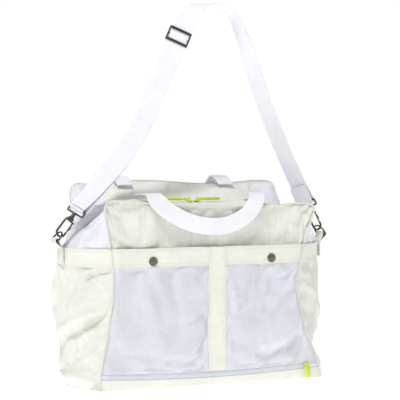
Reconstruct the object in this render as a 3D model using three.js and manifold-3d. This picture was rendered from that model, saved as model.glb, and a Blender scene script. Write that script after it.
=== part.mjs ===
// A soft zipped tote bag for racket sports, standing on its base with its shoulder strap up.
// Millimetres. X runs across the bag, -Y is the front, +Z is up. The origin is the middle of the base.
import * as THREE from 'three';
import { mergeVertices } from 'three/addons/utils/BufferGeometryUtils.js';
import Module from 'manifold-3d';

const wasm = await Module();
wasm.setup();

// Driving dimensions of the body.
const cloth = 2;
const gap = 0.3;
const halfWidth = 228;
const sewnHalfWidth = halfWidth - 2;
const bulgeHalfWidth = 274;
const frontWallY = -90;
const rearWallY = 92;
const pocketY = -98;
const sleeveY = 106;
const gussetFrontY = -91;
const gussetRearY = 103;
const bandHeight = 36;
const bandTop = 268;
const bandBottom = bandTop - bandHeight;
const frontTop = 358;
const rearTop = 388;
const zipHeight = 350;
const cornerRadius = 20;
const pocketHingeZ = 120;
const baseZipZ = 26;
const zipTapeWidth = 14;
const pipingRadius = 2;

// Driving dimensions of the webbing and the metal fittings.
const webbingWidth = 38;
const webbingThickness = 2;
const wire = 3.5;
const ringBarX = 288;
const ringBarZ = 282;
const ringHeight = 19.25;
const hookLength = 57.25;
const eyeTurnRadius = 5;
const adjusterHalfLength = 15;
const capRadius = 9;
const snapX = 125;
const snapZ = 243;

const group = new THREE.Group();

const finishes = {
  ivoryNylon: new THREE.MeshStandardMaterial({ color: 0xe6e5df, roughness: 0.75, metalness: 0 }),
  greyNylon: new THREE.MeshStandardMaterial({ color: 0xd3d5da, roughness: 0.7, metalness: 0 }),
  lilacNylon: new THREE.MeshStandardMaterial({ color: 0xe2e2ea, roughness: 0.75, metalness: 0 }),
  twillBand: new THREE.MeshStandardMaterial({ color: 0xe8e6dc, roughness: 0.85, metalness: 0 }),
  webbing: new THREE.MeshStandardMaterial({ color: 0xf0f0f6, roughness: 0.8, metalness: 0 }),
  zipTape: new THREE.MeshStandardMaterial({ color: 0xc9ced6, roughness: 0.8, metalness: 0 }),
  gunmetal: new THREE.MeshStandardMaterial({ color: 0x5e5f55, roughness: 0.35, metalness: 1 }),
  limePaint: new THREE.MeshStandardMaterial({ color: 0xd0e010, roughness: 0.45, metalness: 0 }),
  board: new THREE.MeshStandardMaterial({ color: 0x8c8c8c, roughness: 0.6, metalness: 0 }),
};

function addPiece(name, geometry, finish) {
  const piece = new THREE.Mesh(geometry, finish);
  piece.name = name;
  group.add(piece);
  return piece;
}

// Boolean helpers: a geometry becomes a solid once its shared vertices are merged, and back again.
function toSolid(geometry) {
  const bare = geometry.clone();
  bare.deleteAttribute('normal');
  bare.deleteAttribute('uv');
  const merged = mergeVertices(bare, 1e-4);
  return new wasm.Manifold(new wasm.Mesh({
    numProp: 3,
    vertProperties: merged.attributes.position.array,
    triVerts: new Uint32Array(merged.index.array),
  }));
}

function toGeometry(solid) {
  const mesh = solid.getMesh();
  const geometry = new THREE.BufferGeometry();
  geometry.setAttribute('position', new THREE.BufferAttribute(mesh.vertProperties, 3));
  geometry.setIndex(new THREE.BufferAttribute(mesh.triVerts, 1));
  geometry.computeVertexNormals();
  return geometry;
}

const join = (...geometries) => toGeometry(geometries.map(toSolid).reduce((a, b) => a.add(b)));
const cut = (geometry, tool) => toGeometry(toSolid(geometry).subtract(toSolid(tool)));

// A box from its low corner to its high corner.
function block(low, high) {
  const size = high.map((value, i) => value - low[i]);
  return new THREE.BoxGeometry(...size).translate(...low.map((value, i) => value + size[i] / 2));
}

// A flat outline in the XZ plane, from yFront back by its thickness.
function uprightPlate(shape, yFront, thickness) {
  const geometry = new THREE.ExtrudeGeometry(shape, { depth: thickness, bevelEnabled: false, curveSegments: 6 });
  return geometry.rotateX(Math.PI / 2).translate(0, yFront + thickness, 0);
}

// A flat outline laid in the plane of two axes, centred on its thickness about an origin.
function platedShape(shape, thickness, origin, xAxis, yAxis) {
  const geometry = new THREE.ExtrudeGeometry(shape, { depth: thickness, bevelEnabled: false, curveSegments: 8 });
  const zAxis = new THREE.Vector3().crossVectors(xAxis, yAxis);
  const frame = new THREE.Matrix4().makeBasis(xAxis, yAxis, zAxis).setPosition(origin);
  return geometry.translate(0, 0, -thickness / 2).applyMatrix4(frame);
}

function outline(points) {
  return new THREE.Shape(points.map(([x, y]) => new THREE.Vector2(x, y)));
}

// Unit normals of a grid of surface points: the cross product of its row and column directions.
function gridNormals(rows) {
  const last = rows.length - 1;
  const side = rows[0].length - 1;
  return rows.map((row, i) => row.map((_, j) => {
    const along = rows[Math.min(i + 1, last)][j].clone().sub(rows[Math.max(i - 1, 0)][j]);
    const across = rows[i][Math.min(j + 1, side)].clone().sub(rows[i][Math.max(j - 1, 0)]);
    return along.cross(across).normalize();
  }));
}

function offsetGrid(rows, distance) {
  const normals = gridNormals(rows);
  return rows.map((row, i) => row.map((point, j) => point.clone().addScaledVector(normals[i][j], distance)));
}

// A closed skin: the grid is its outer face, and its inner face lies one thickness behind.
function skin(rows, thickness) {
  const inner = offsetGrid(rows, -thickness);
  const columns = rows[0].length;
  const positions = [...rows, ...inner].flat().flatMap((point) => point.toArray());
  const outside = (i, j) => i * columns + j;
  const inside = (i, j) => (rows.length + i) * columns + j;
  const index = [];
  const quad = (a, b, c, d) => index.push(a, b, c, a, c, d);
  for (let i = 0; i < rows.length - 1; i++) {
    for (let j = 0; j < columns - 1; j++) {
      quad(outside(i, j), outside(i + 1, j), outside(i + 1, j + 1), outside(i, j + 1));
      quad(inside(i, j), inside(i, j + 1), inside(i + 1, j + 1), inside(i + 1, j));
    }
    const last = columns - 1;
    quad(outside(i, 0), inside(i, 0), inside(i + 1, 0), outside(i + 1, 0));
    quad(outside(i, last), outside(i + 1, last), inside(i + 1, last), inside(i, last));
  }
  for (let j = 0; j < columns - 1; j++) {
    const last = rows.length - 1;
    quad(outside(0, j), outside(0, j + 1), inside(0, j + 1), inside(0, j));
    quad(outside(last, j), inside(last, j), inside(last, j + 1), outside(last, j + 1));
  }
  const geometry = new THREE.BufferGeometry();
  geometry.setAttribute('position', new THREE.Float32BufferAttribute(positions, 3));
  geometry.setIndex(index);
  geometry.computeVertexNormals();
  return geometry;
}

const evenSteps = (low, high, count) => Array.from({ length: count + 1 }, (_, i) => low + ((high - low) * i) / count);

// The gussets swell outwards between the front and rear seams.
const gussetMiddleY = (gussetFrontY + gussetRearY) / 2;
const gussetHalfDepth = (gussetRearY - gussetFrontY) / 2;
const seamX = halfWidth + 4;
const gussetX = (y) => seamX + (bulgeHalfWidth - seamX) * (1 - ((y - gussetMiddleY) / gussetHalfDepth) ** 2);

// Base, with the stiffening board inside it.
function planOutline(inset) {
  const ys = evenSteps(gussetFrontY + inset, gussetRearY - inset, 12);
  const right = ys.map((y) => [gussetX(y) - inset, y]);
  const left = [...ys].reverse().map((y) => [inset - gussetX(y), y]);
  return outline([
    [-halfWidth + inset, pocketY + inset],
    [halfWidth - inset, pocketY + inset],
    ...right,
    [halfWidth - inset, sleeveY - inset],
    [-halfWidth + inset, sleeveY - inset],
    ...left,
  ]);
}

function addBase() {
  const panel = new THREE.ExtrudeGeometry(planOutline(0), { depth: cloth, bevelEnabled: false });
  addPiece('base_panel', panel, finishes.ivoryNylon);
  const boardX = 212;
  const floor = cloth + gap;
  const board = block([-boardX, frontWallY + 6, floor], [boardX, rearWallY - 6, floor + 3]);
  addPiece('base_board', board, finishes.board);
}

// Lower walls, up to the band that runs round the bag.
function addLowerWalls() {
  const floor = cloth + gap;
  const frontWall = block([-sewnHalfWidth, frontWallY, floor], [sewnHalfWidth, frontWallY + cloth, bandTop]);
  addPiece('front_wall', frontWall, finishes.ivoryNylon);
  const rearWall = block([-sewnHalfWidth, rearWallY - cloth, floor], [sewnHalfWidth, rearWallY, bandTop]);
  addPiece('rear_wall', rearWall, finishes.ivoryNylon);
  const sleeve = block([-sewnHalfWidth, sleeveY - cloth, floor], [sewnHalfWidth, sleeveY, bandBottom]);
  addPiece('rear_sleeve_panel', sleeve, finishes.greyNylon);
  const sleeveBand = block([-sewnHalfWidth, sleeveY - cloth, bandBottom + gap], [sewnHalfWidth, sleeveY + 1, bandTop]);
  addPiece('rear_sleeve_band', sleeveBand, finishes.twillBand);
}

// One side's wall between two heights. The grid's direction turns its outer face away from the bag.
function gussetGrid(side, heights) {
  const rising = side < 0 ? heights : [...heights].reverse();
  const ys = evenSteps(gussetFrontY, gussetRearY, 12);
  return rising.map((z) => ys.map((y) => new THREE.Vector3(side * gussetX(y), y, z)));
}

function addGussets() {
  for (const [name, side] of [['left', -1], ['right', 1]]) {
    addPiece(`gusset_${name}`, skin(gussetGrid(side, [cloth + gap, bandTop]), cloth), finishes.ivoryNylon);
    const bandGrid = offsetGrid(gussetGrid(side, [bandBottom, bandTop]), cloth + gap);
    addPiece(`gusset_band_${name}`, skin(bandGrid, cloth), finishes.twillBand);
  }
}

// Front pocket, with the zip that opens its bottom, and the band that stiffens its mouth.
function addFrontPocket() {
  const plate = (zLow, zHigh, thickness = cloth) =>
    block([-sewnHalfWidth, pocketY, zLow], [sewnHalfWidth, pocketY + thickness, zHigh]);
  const tapeLow = baseZipZ - zipTapeWidth / 2;
  const tapeHigh = baseZipZ + zipTapeWidth / 2;
  addPiece('front_base_strip', plate(cloth + gap, tapeLow - gap), finishes.twillBand);
  addPiece('base_zip_tape', plate(tapeLow, tapeHigh, 1), finishes.zipTape);
  addPiece('pocket_panel_lower', plate(tapeHigh + gap, pocketHingeZ), finishes.greyNylon);
  addPiece('pocket_panel_upper', plate(pocketHingeZ + gap, bandBottom - gap), finishes.greyNylon);
  const hem = block([-sewnHalfWidth, pocketY - 1, bandBottom], [sewnHalfWidth, pocketY + cloth, bandTop]);
  addPiece('pocket_hem_band', hem, finishes.twillBand);
  const chainY = pocketY - gap;
  const chain = block([-212, chainY - 1.6, baseZipZ - 2.5], [212, chainY, baseZipZ + 2.5]);
  addPiece('base_zip_chain', chain, finishes.zipTape);
  const bandX = 9;
  const centreBand = (zLow, zHigh) =>
    block([bandX - webbingWidth / 2, pocketY - gap - 1.2, zLow], [bandX + webbingWidth / 2, pocketY - gap, zHigh]);
  addPiece('centre_band_lower', centreBand(tapeHigh + gap, pocketHingeZ), finishes.twillBand);
  addPiece('centre_band_upper', centreBand(pocketHingeZ + gap, bandBottom - gap), finishes.twillBand);
}

// A turned fitting: its profile of radius against height stands out of the front of the bag at y.
function turned(profile, x, y, z) {
  const points = profile.map(([radius, height]) => new THREE.Vector2(radius, height));
  return new THREE.LatheGeometry(points, 20).rotateX(Math.PI).translate(x, y, z);
}

// Press studs that close the pocket's mouth.
function addSnaps() {
  const cap = [[0, 0], [capRadius, 0], [capRadius, 1.2], [capRadius - 1, 2], [6, 2.2], [5.5, 1.7], [0, 2.4]];
  const socket = [[4.2, 0], [6.5, 0], [6.5, 2.7], [4.2, 2.7], [4.2, 0]];
  const stud = [[0, 0], [7, 0], [7, 1.2], [3, 1.2], [3, 4.3], [0, 4.3]];
  const hemFrontY = pocketY - 1;
  const hemBackY = pocketY + cloth;
  for (const [name, x] of [['left', -snapX], ['right', snapX]]) {
    addPiece(`snap_cap_${name}`, turned(cap, x, hemFrontY - gap, snapZ), finishes.gunmetal);
    addPiece(`snap_socket_${name}`, turned(socket, x, hemBackY + gap + 2.7, snapZ), finishes.gunmetal);
    addPiece(`snap_stud_${name}`, turned(stud, x, frontWallY - gap, snapZ), finishes.gunmetal);
  }
}

// The bag's top from one side up and over to the other: where its seam runs, and where its zip runs.
function topStations(seamTop) {
  const seam = [
    [halfWidth, bandTop + 1.5],
    [halfWidth, bandTop + 30],
    [halfWidth, seamTop - cornerRadius],
    [halfWidth - 6, seamTop - 6],
    [halfWidth - cornerRadius, seamTop],
    [120, seamTop],
    [0, seamTop],
  ];
  const zip = [
    [bulgeHalfWidth - 1, bandTop + 1.5],
    [bulgeHalfWidth - 22, bandTop + 20],
    [218, 314],
    [186, 334],
    [150, 346],
    [100, zipHeight],
    [0, zipHeight],
  ];
  const half = seam.map((point, i) => ({ seam: point, zip: zip[i] }));
  const flip = ([x, z]) => [-x, z];
  const left = half.map((station) => ({ seam: flip(station.seam), zip: flip(station.zip) }));
  return [...left, ...half.slice(0, -1).reverse()];
}

// Part of the top between two depths, given as shares of the way from the seam to the zip.
function topGrid(seamTop, seamY, zipY, shares) {
  const crown = 5;
  const swellCentreZ = 200;
  return topStations(seamTop).map((station) => shares.map((share) => {
    const eased = 1 - (1 - share) ** 1.6;
    const x = THREE.MathUtils.lerp(station.seam[0], station.zip[0], eased);
    const z = THREE.MathUtils.lerp(station.seam[1], station.zip[1], eased);
    const outwards = new THREE.Vector2(x, z - swellCentreZ).normalize();
    const swell = crown * Math.sin(Math.PI * share) ** 1.5;
    return new THREE.Vector3(x + outwards.x * swell, THREE.MathUtils.lerp(seamY, zipY, share), z + outwards.y * swell);
  }));
}

// One half of the zipped top. The halves open about the band, away from each other.
function addTopHalf(name, seamTop, seamY) {
  const frontHalf = seamY < 0;
  const ordered = (grid) => (frontHalf ? grid : grid.map((row) => [...row].reverse()));
  const shareAt = (fromMiddle) => 1 - fromMiddle / Math.abs(seamY);
  const grid = (...fromMiddle) => ordered(topGrid(seamTop, seamY, 0, fromMiddle.map(shareAt)));
  const strip = skin(grid(Math.abs(seamY), 64, 36, 10 + 2 * gap), cloth);
  addPiece(`top_strip_${name}`, strip, finishes.lilacNylon);
  addPiece(`zip_tape_${name}`, skin(grid(10, gap), 1), finishes.zipTape);
  addPiece(`zip_coil_${name}`, skin(offsetGrid(grid(3.2, 3 * gap), 2.2), 1.6), finishes.zipTape);
}

function roundedPanel(top) {
  const shape = new THREE.Shape();
  const x = sewnHalfWidth;
  shape.moveTo(-x, bandTop + gap);
  shape.lineTo(x, bandTop + gap);
  shape.lineTo(x, top - cornerRadius);
  shape.absarc(x - cornerRadius, top - cornerRadius, cornerRadius, 0, Math.PI / 2);
  shape.lineTo(cornerRadius - x, top);
  shape.absarc(cornerRadius - x, top - cornerRadius, cornerRadius, Math.PI / 2, Math.PI);
  return shape;
}

function addUpperPanels() {
  addPiece('front_panel_upper', uprightPlate(roundedPanel(frontTop), frontWallY, cloth), finishes.ivoryNylon);
  const rear = uprightPlate(roundedPanel(rearTop), rearWallY - cloth, cloth);
  addPiece('rear_panel_upper', rear, finishes.ivoryNylon);
}

// Piping: a round cord sewn into the seam along the panel's edge, over the top or under the bottom.
function pipingPath(y, zStart, zTurn) {
  const x = halfWidth + pipingRadius;
  const inwards = Math.sign(zStart - zTurn) * cornerRadius;
  const at = (px, pz) => new THREE.Vector3(px, y, pz);
  const path = new THREE.CurvePath();
  path.add(new THREE.LineCurve3(at(-x, zStart), at(-x, zTurn + inwards)));
  path.add(new THREE.QuadraticBezierCurve3(at(-x, zTurn + inwards), at(-x, zTurn), at(cornerRadius - x, zTurn)));
  path.add(new THREE.LineCurve3(at(cornerRadius - x, zTurn), at(x - cornerRadius, zTurn)));
  path.add(new THREE.QuadraticBezierCurve3(at(x - cornerRadius, zTurn), at(x, zTurn), at(x, zTurn + inwards)));
  path.add(new THREE.LineCurve3(at(x, zTurn + inwards), at(x, zStart)));
  return path;
}

function piping(path) {
  const section = new THREE.Shape().absarc(0, 0, pipingRadius, 0, 2 * Math.PI);
  return new THREE.ExtrudeGeometry(section, { steps: 60, curveSegments: 3, extrudePath: path });
}

function sidePiping(side, y) {
  const x = side * (halfWidth + pipingRadius);
  return new THREE.CylinderGeometry(pipingRadius, pipingRadius, bandTop - cloth - gap, 6)
    .rotateX(Math.PI / 2)
    .translate(x, y, (bandTop + cloth + gap) / 2);
}

function addPiping() {
  const frontY = frontWallY - pipingRadius - gap;
  const rearY = rearWallY + pipingRadius + gap;
  const seamLift = pipingRadius;
  const frontArch = pipingPath(frontY, bandTop + gap, frontTop + seamLift);
  const rearArch = pipingPath(rearY, bandTop + gap, rearTop + seamLift);
  addPiece('front_piping_upper', piping(frontArch), finishes.twillBand);
  addPiece('rear_piping_upper', piping(rearArch), finishes.twillBand);
  for (const [name, side] of [['left', -1], ['right', 1]]) {
    addPiece(`front_piping_${name}`, sidePiping(side, gussetFrontY - pipingRadius - gap), finishes.twillBand);
  }
}

// Webbing laid through stations of a point and the direction of its width.
function webbing(stations, width = webbingWidth, thickness = webbingThickness) {
  const rows = stations.map(({ point, across }) => [-width / 2, width / 2]
    .map((offset) => point.clone().addScaledVector(across, offset)));
  return skin(rows, thickness);
}

// A carrying handle: both ends are sewn into the top seam, and the loop hangs down outside the bag,
// a little to the right because the left end is sewn further out.
function handle(outward, hingeY, hingeZ) {
  const outerY = hingeY + outward * 15;
  const points = [
    [-125, hingeY, 2],
    [-123, hingeY + outward * 9, 1],
    [-116, outerY, -12],
    [-92, outerY, -32],
    [-52, outerY, -52],
    [-12, outerY, -61],
    [22, outerY, -61],
    [54, outerY, -51],
    [78, outerY, -34],
    [92, outerY, -12],
    [95, hingeY + outward * 9, 1],
    [95, hingeY, 2],
  ].map(([x, y, z]) => new THREE.Vector3(x, y, hingeZ + z));
  const curve = new THREE.CatmullRomCurve3(points, false, 'centripetal');
  const steps = 32;
  const width = 32;
  const facing = new THREE.Vector3(0, outward, 0);
  const stations = evenSteps(0, 1, steps).map((u) => {
    const along = curve.getTangentAt(u);
    const lying = Math.abs(along.y);
    const face = facing.clone().multiplyScalar(1 - lying).add(new THREE.Vector3(0, 0, lying));
    return { point: curve.getPointAt(u), across: face.cross(along).normalize() };
  });
  return webbing(stations, width, 2.4);
}

// A zip slider over a chain along X with its tape facing up, and the arched bridge that holds its pull.
function slider(bridgeAlongX) {
  const plate = block([-7, -5.5, 3.4], [7, 5.5, 5.2]);
  const lip = block([-7, -5.5, 1.6], [7, -4, 5.2]);
  const arch = new THREE.Shape().absarc(0, 0, 3.8, 0, Math.PI);
  arch.lineTo(-3.8, -3);
  arch.lineTo(3.8, -3);
  arch.holes.push(new THREE.Path().absarc(0, 0, 2.3, 0, 2 * Math.PI, true));
  const bridge = new THREE.ExtrudeGeometry(arch, { depth: 2.4, bevelEnabled: false, curveSegments: 8 })
    .translate(0, 0, -1.2)
    .rotateX(Math.PI / 2)
    .rotateZ(bridgeAlongX ? 0 : Math.PI / 2)
    .translate(0, 0, sliderPivot);
  return join(plate, lip, bridge);
}

const sliderPivot = 7.8;

// A pull: a window that links through the bridge, and the tab. It points to -X from the pivot at 0.
function pull(length) {
  const shape = outline([[0.9, -4], [0.9, 4], [-9, 4], [-12, 3], [2 - length, 3], [-length, 1.5],
    [-length, -1.5], [2 - length, -3], [-12, -3], [-9, -4]]);
  shape.holes.push(outline([[-0.9, -2.2], [-7.5, -2.2], [-7.5, 2.2], [-0.9, 2.2]]));
  return new THREE.ExtrudeGeometry(shape, { depth: 1.8, bevelEnabled: false }).translate(0, 0, -0.9);
}

function addMainZipSliders() {
  const startX = 9;
  for (const [name, side] of [['left', -1], ['right', 1]]) {
    const body = addPiece(`zip_slider_${name}`, slider(true), finishes.limePaint);
    body.position.set(side * startX, 0, zipHeight);
    const tab = addPiece(`zip_pull_${name}`, pull(50), finishes.limePaint);
    tab.position.set(side * startX, 0, zipHeight + sliderPivot);
    tab.rotation.z = side < 0 ? 0 : Math.PI;
  }
}

// The slider of the bottom zip faces the front, and its pull hangs down.
function addBaseZipSlider() {
  const sliderX = 203;
  const tapeFaceY = pocketY;
  const body = addPiece('base_zip_slider', slider(false), finishes.limePaint);
  body.rotation.x = Math.PI / 2;
  body.position.set(sliderX, tapeFaceY, baseZipZ);
  const tab = addPiece('base_zip_pull', pull(25).rotateZ(Math.PI / 2).rotateX(Math.PI / 2), finishes.limePaint);
  tab.position.set(sliderX, tapeFaceY - sliderPivot, baseZipZ);
}

// The strap's fittings at one end: the ring in its tab, the hook on the ring, and the eye on the hook.
const upY = new THREE.Vector3(0, 1, 0);

const strapEnds = {
  left: { side: -1, pull: new THREE.Vector3(0.62, 0, 0.785).normalize() },
  right: { side: 1, pull: new THREE.Vector3(-0.48, 0, 0.877).normalize() },
};
for (const end of Object.values(strapEnds)) {
  end.bar = new THREE.Vector3(end.side * ringBarX, 0, ringBarZ);
  end.bow = end.bar.clone().addScaledVector(end.pull, ringHeight);
  end.eye = end.bow.clone().addScaledVector(end.pull, hookLength);
  end.inPlane = new THREE.Vector3().crossVectors(end.pull, upY);
}

function ringShape() {
  const half = 22;
  const shape = new THREE.Shape();
  shape.moveTo(-half, -wire / 2);
  shape.lineTo(half, -wire / 2);
  shape.lineTo(half, 4);
  shape.absellipse(0, 4, half, 17, 0, Math.PI);
  const inner = half - wire;
  const hole = new THREE.Path();
  hole.moveTo(-inner, wire / 2);
  hole.lineTo(-inner, 4);
  hole.absellipse(0, 4, inner, 17 - wire, Math.PI, 0, true);
  hole.lineTo(inner, wire / 2);
  shape.holes.push(hole);
  return shape;
}

// The hook's origin is the middle of the ring's bow, and its +Y runs up to the swivel.
function hookShape() {
  const inner = 6.5;
  const outer = 10.5;
  const shape = new THREE.Shape();
  shape.moveTo(3.5, 40);
  shape.lineTo(4, 37);
  shape.lineTo(outer, 30);
  shape.lineTo(outer, 0);
  shape.absarc(0, 0, outer, 0, -Math.PI, true);
  shape.lineTo(-outer, 6);
  shape.lineTo(-inner, 6);
  shape.lineTo(-inner, 0);
  shape.absarc(0, 0, inner, -Math.PI, 0, false);
  shape.lineTo(inner, 27);
  shape.lineTo(-outer, 29.5);
  shape.lineTo(-outer, 34);
  shape.lineTo(-4, 37);
  shape.lineTo(-3.5, 40);
  return shape;
}

const gatePivot = new THREE.Vector2(-8.5, 25.5);

function gateShape() {
  const half = 1.8;
  const shape = new THREE.Shape();
  shape.moveTo(gatePivot.x - half, 6.5);
  shape.lineTo(gatePivot.x + half, 6.5);
  shape.lineTo(gatePivot.x + half, gatePivot.y);
  shape.absarc(gatePivot.x, gatePivot.y, half, 0, Math.PI);
  return shape;
}

function eyeShape() {
  const low = 43.5;
  const high = hookLength + wire / 2;
  const half = webbingWidth / 2 + 4.5;
  const shape = outline([[-3.5, 40.5], [3.5, 40.5], [3.5, low], [half, low], [half, high], [-half, high],
    [-half, low], [-3.5, low]]);
  const inner = half - wire;
  shape.holes.push(outline([[-inner, low + wire], [-inner, high - wire], [inner, high - wire], [inner, low + wire]]));
  return shape;
}

function ringTab(side) {
  const tabHalfWidth = 15;
  const top = bandTop + 4;
  const sheetX = 276.9;
  const strip = block([sheetX, -tabHalfWidth, bandBottom + 4], [sheetX + 3, tabHalfWidth, top]);
  const reach = new THREE.Vector2(ringBarX - sheetX - 1.5, ringBarZ - top + 1.5);
  const arm = new THREE.BoxGeometry(3, 2 * tabHalfWidth, reach.length())
    .rotateY(Math.atan2(reach.x, reach.y))
    .translate(sheetX + 1.5 + reach.x / 2, 0, top - 1.5 + reach.y / 2);
  const bead = new THREE.CylinderGeometry(4.9, 4.9, 2 * tabHalfWidth, 16).translate(ringBarX, 0, ringBarZ);
  const bore = new THREE.CylinderGeometry(2.9, 2.9, 4 * tabHalfWidth, 16).translate(ringBarX, 0, ringBarZ);
  const tab = cut(join(strip, arm, bead), bore);
  return side > 0 ? tab : tab.rotateZ(Math.PI);
}

// A strap's width, turned from +Y towards the front by a twist about its own run.
function acrossStrap(along, twist) {
  const inwards = new THREE.Vector3().crossVectors(along, upY);
  return upY.clone().multiplyScalar(Math.cos(twist)).addScaledVector(inwards, Math.sin(twist));
}

function addStrapEnds() {
  for (const [name, end] of Object.entries(strapEnds)) {
    addPiece(`ring_tab_${name}`, ringTab(end.side), finishes.twillBand);
    const ring = platedShape(ringShape(), wire, end.bar, upY, end.pull);
    addPiece(`d_ring_${name}`, ring, finishes.gunmetal);
    addPiece(`hook_${name}`, platedShape(hookShape(), 4, end.bow, end.inPlane, end.pull), finishes.gunmetal);
    addPiece(`hook_gate_${name}`, platedShape(gateShape(), 3.4, end.bow, end.inPlane, end.pull), finishes.gunmetal);
    const eye = platedShape(eyeShape(), wire, end.bow, end.across, end.pull);
    addPiece(`hook_eye_${name}`, eye, finishes.gunmetal);
  }
}

// The strap's middle line, from the left eye over the top to the right eye. The adjuster slides on its
// straight stretch, which starts at straightStart.
const straightStart = new THREE.Vector3(-106, 0, 510);
const straightRun = new THREE.Vector3(0.407, 0, 0.913).normalize();
const onStraight = (distance) => straightStart.clone().addScaledVector(straightRun, distance);
const adjusterPlace = 184;

const strapLine = new THREE.CatmullRomCurve3([
  strapEnds.left.eye,
  new THREE.Vector3(-195, 0, 391),
  new THREE.Vector3(-147, 0, 447),
  ...[0, 50, 100, 150, 200].map(onStraight),
  new THREE.Vector3(2, 0, 729),
  new THREE.Vector3(43, 0, 743),
  new THREE.Vector3(80, 0, 727),
  new THREE.Vector3(108, 0, 677),
  new THREE.Vector3(135, 0, 602),
  new THREE.Vector3(165, 0, 525),
  new THREE.Vector3(198, 0, 453),
  new THREE.Vector3(229, 0, 391),
  strapEnds.right.eye,
], false, 'centripetal');

// The twist in degrees at shares of the line's length.
const twists = [[0, 32], [0.12, 66], [0.22, 78], [0.45, 78], [0.51, 8], [0.56, -8], [0.7, -24], [1, -34]];

function twistAt(share) {
  const next = Math.max(1, twists.findIndex(([at]) => at >= share));
  const [from, angle] = twists[next - 1];
  const [to, nextAngle] = twists[next];
  return THREE.MathUtils.degToRad(THREE.MathUtils.lerp(angle, nextAngle, (share - from) / (to - from)));
}

// Two layers lie on either side of the middle line and spread to pass round the eyes' bars.
const strapLength = strapLine.getLength();

function strapStation(share, layer) {
  const along = strapLine.getTangentAt(share);
  const across = acrossStrap(along, twistAt(share));
  const facing = new THREE.Vector3().crossVectors(along, across);
  const fromEye = strapLength * Math.min(share, 1 - share);
  const closed = webbingThickness + 2 * gap;
  const spread = closed + (eyeTurnRadius - closed) * Math.exp(-((fromEye / 22) ** 2));
  const point = strapLine.getPointAt(share).addScaledVector(facing, layer * spread);
  return { point, across, along, facing };
}

// The half turn round an eye's bar, from one layer to the other.
function eyeTurn(share, fromLayer) {
  const { across, along, facing } = strapStation(share, 1);
  const centre = strapLine.getPointAt(share);
  const outwards = along.clone().multiplyScalar(share > 0.5 ? 1 : -1);
  return evenSteps(0, Math.PI, 8).slice(1, -1).map((angle) => ({
    point: centre.clone()
      .addScaledVector(facing, fromLayer * eyeTurnRadius * Math.cos(angle))
      .addScaledVector(outwards, eyeTurnRadius * Math.sin(angle)),
    across,
  }));
}

strapEnds.left.across = strapStation(0, 1).across;
strapEnds.right.across = strapStation(1, 1).across;

function addStrap() {
  const sewnBack = 35 / strapLength;
  const main = [
    ...evenSteps((4 * gap) / strapLength, 1, 72).map((share) => strapStation(share, 1)),
    ...eyeTurn(1, 1),
    ...evenSteps(1, 1 - sewnBack, 4).map((share) => strapStation(share, -1)),
  ];
  addPiece('shoulder_strap', webbing(main), finishes.webbing);
  const adjusterShare = shareNear(onStraight(adjusterPlace));
  const start = adjusterShare - 2.5 / strapLength;
  const back = [
    ...evenSteps(start, 0, 32).map((share) => strapStation(share, -1)),
    ...eyeTurn(0, -1),
    strapStation(0, 1),
  ];
  addPiece('strap_return', webbing(back), finishes.webbing);
  addAdjuster(strapStation(adjusterShare, 0));
}

// The share of the strap's line that lies nearest to a point on it.
function shareNear(point) {
  const shares = evenSteps(0, 1, 4000);
  const distance = (share) => strapLine.getPointAt(share).distanceToSquared(point);
  return shares.reduce((best, share) => (distance(share) < distance(best) ? share : best));
}

// Three-bar slide: two bars in front of the strap, one behind it, and a cheek on either side.
function addAdjuster({ point, across, along, facing }) {
  const cheekIn = webbingWidth / 2 + 1.2;
  const cheekOut = cheekIn + 3;
  const frontLow = webbingThickness + 4 * gap;
  const frontHigh = frontLow + 2.8;
  const backLow = -3;
  const end = adjusterHalfLength;
  const parts = [
    block([-cheekOut, -end, backLow], [-cheekIn, end, frontHigh]),
    block([cheekIn, -end, backLow], [cheekOut, end, frontHigh]),
    block([-cheekOut, -end, frontLow], [cheekOut, -end + wire, frontHigh]),
    block([-cheekOut, end - wire, frontLow], [cheekOut, end, frontHigh]),
    block([-cheekOut, -wire / 2, backLow], [cheekOut, wire / 2, 0]),
  ];
  const piece = addPiece('strap_adjuster', join(...parts), finishes.gunmetal);
  piece.applyMatrix4(new THREE.Matrix4().makeBasis(across.clone().negate(), along, facing).setPosition(point));
}

addBase();
addLowerWalls();
addGussets();
addFrontPocket();
addSnaps();
addTopHalf('front', frontTop, frontWallY + cloth + 1);
addTopHalf('rear', rearTop, rearWallY - cloth - 1.5);
addUpperPanels();
addPiping();
addPiece('front_handle', handle(-1, frontWallY + 6, 369), finishes.webbing);
addPiece('rear_handle', handle(1, rearWallY, 399), finishes.webbing);
addMainZipSliders();
addBaseZipSlider();
addStrapEnds();
addStrap();

export default group;
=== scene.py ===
import math

import bpy
from mathutils import Matrix, Vector, noise


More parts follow.
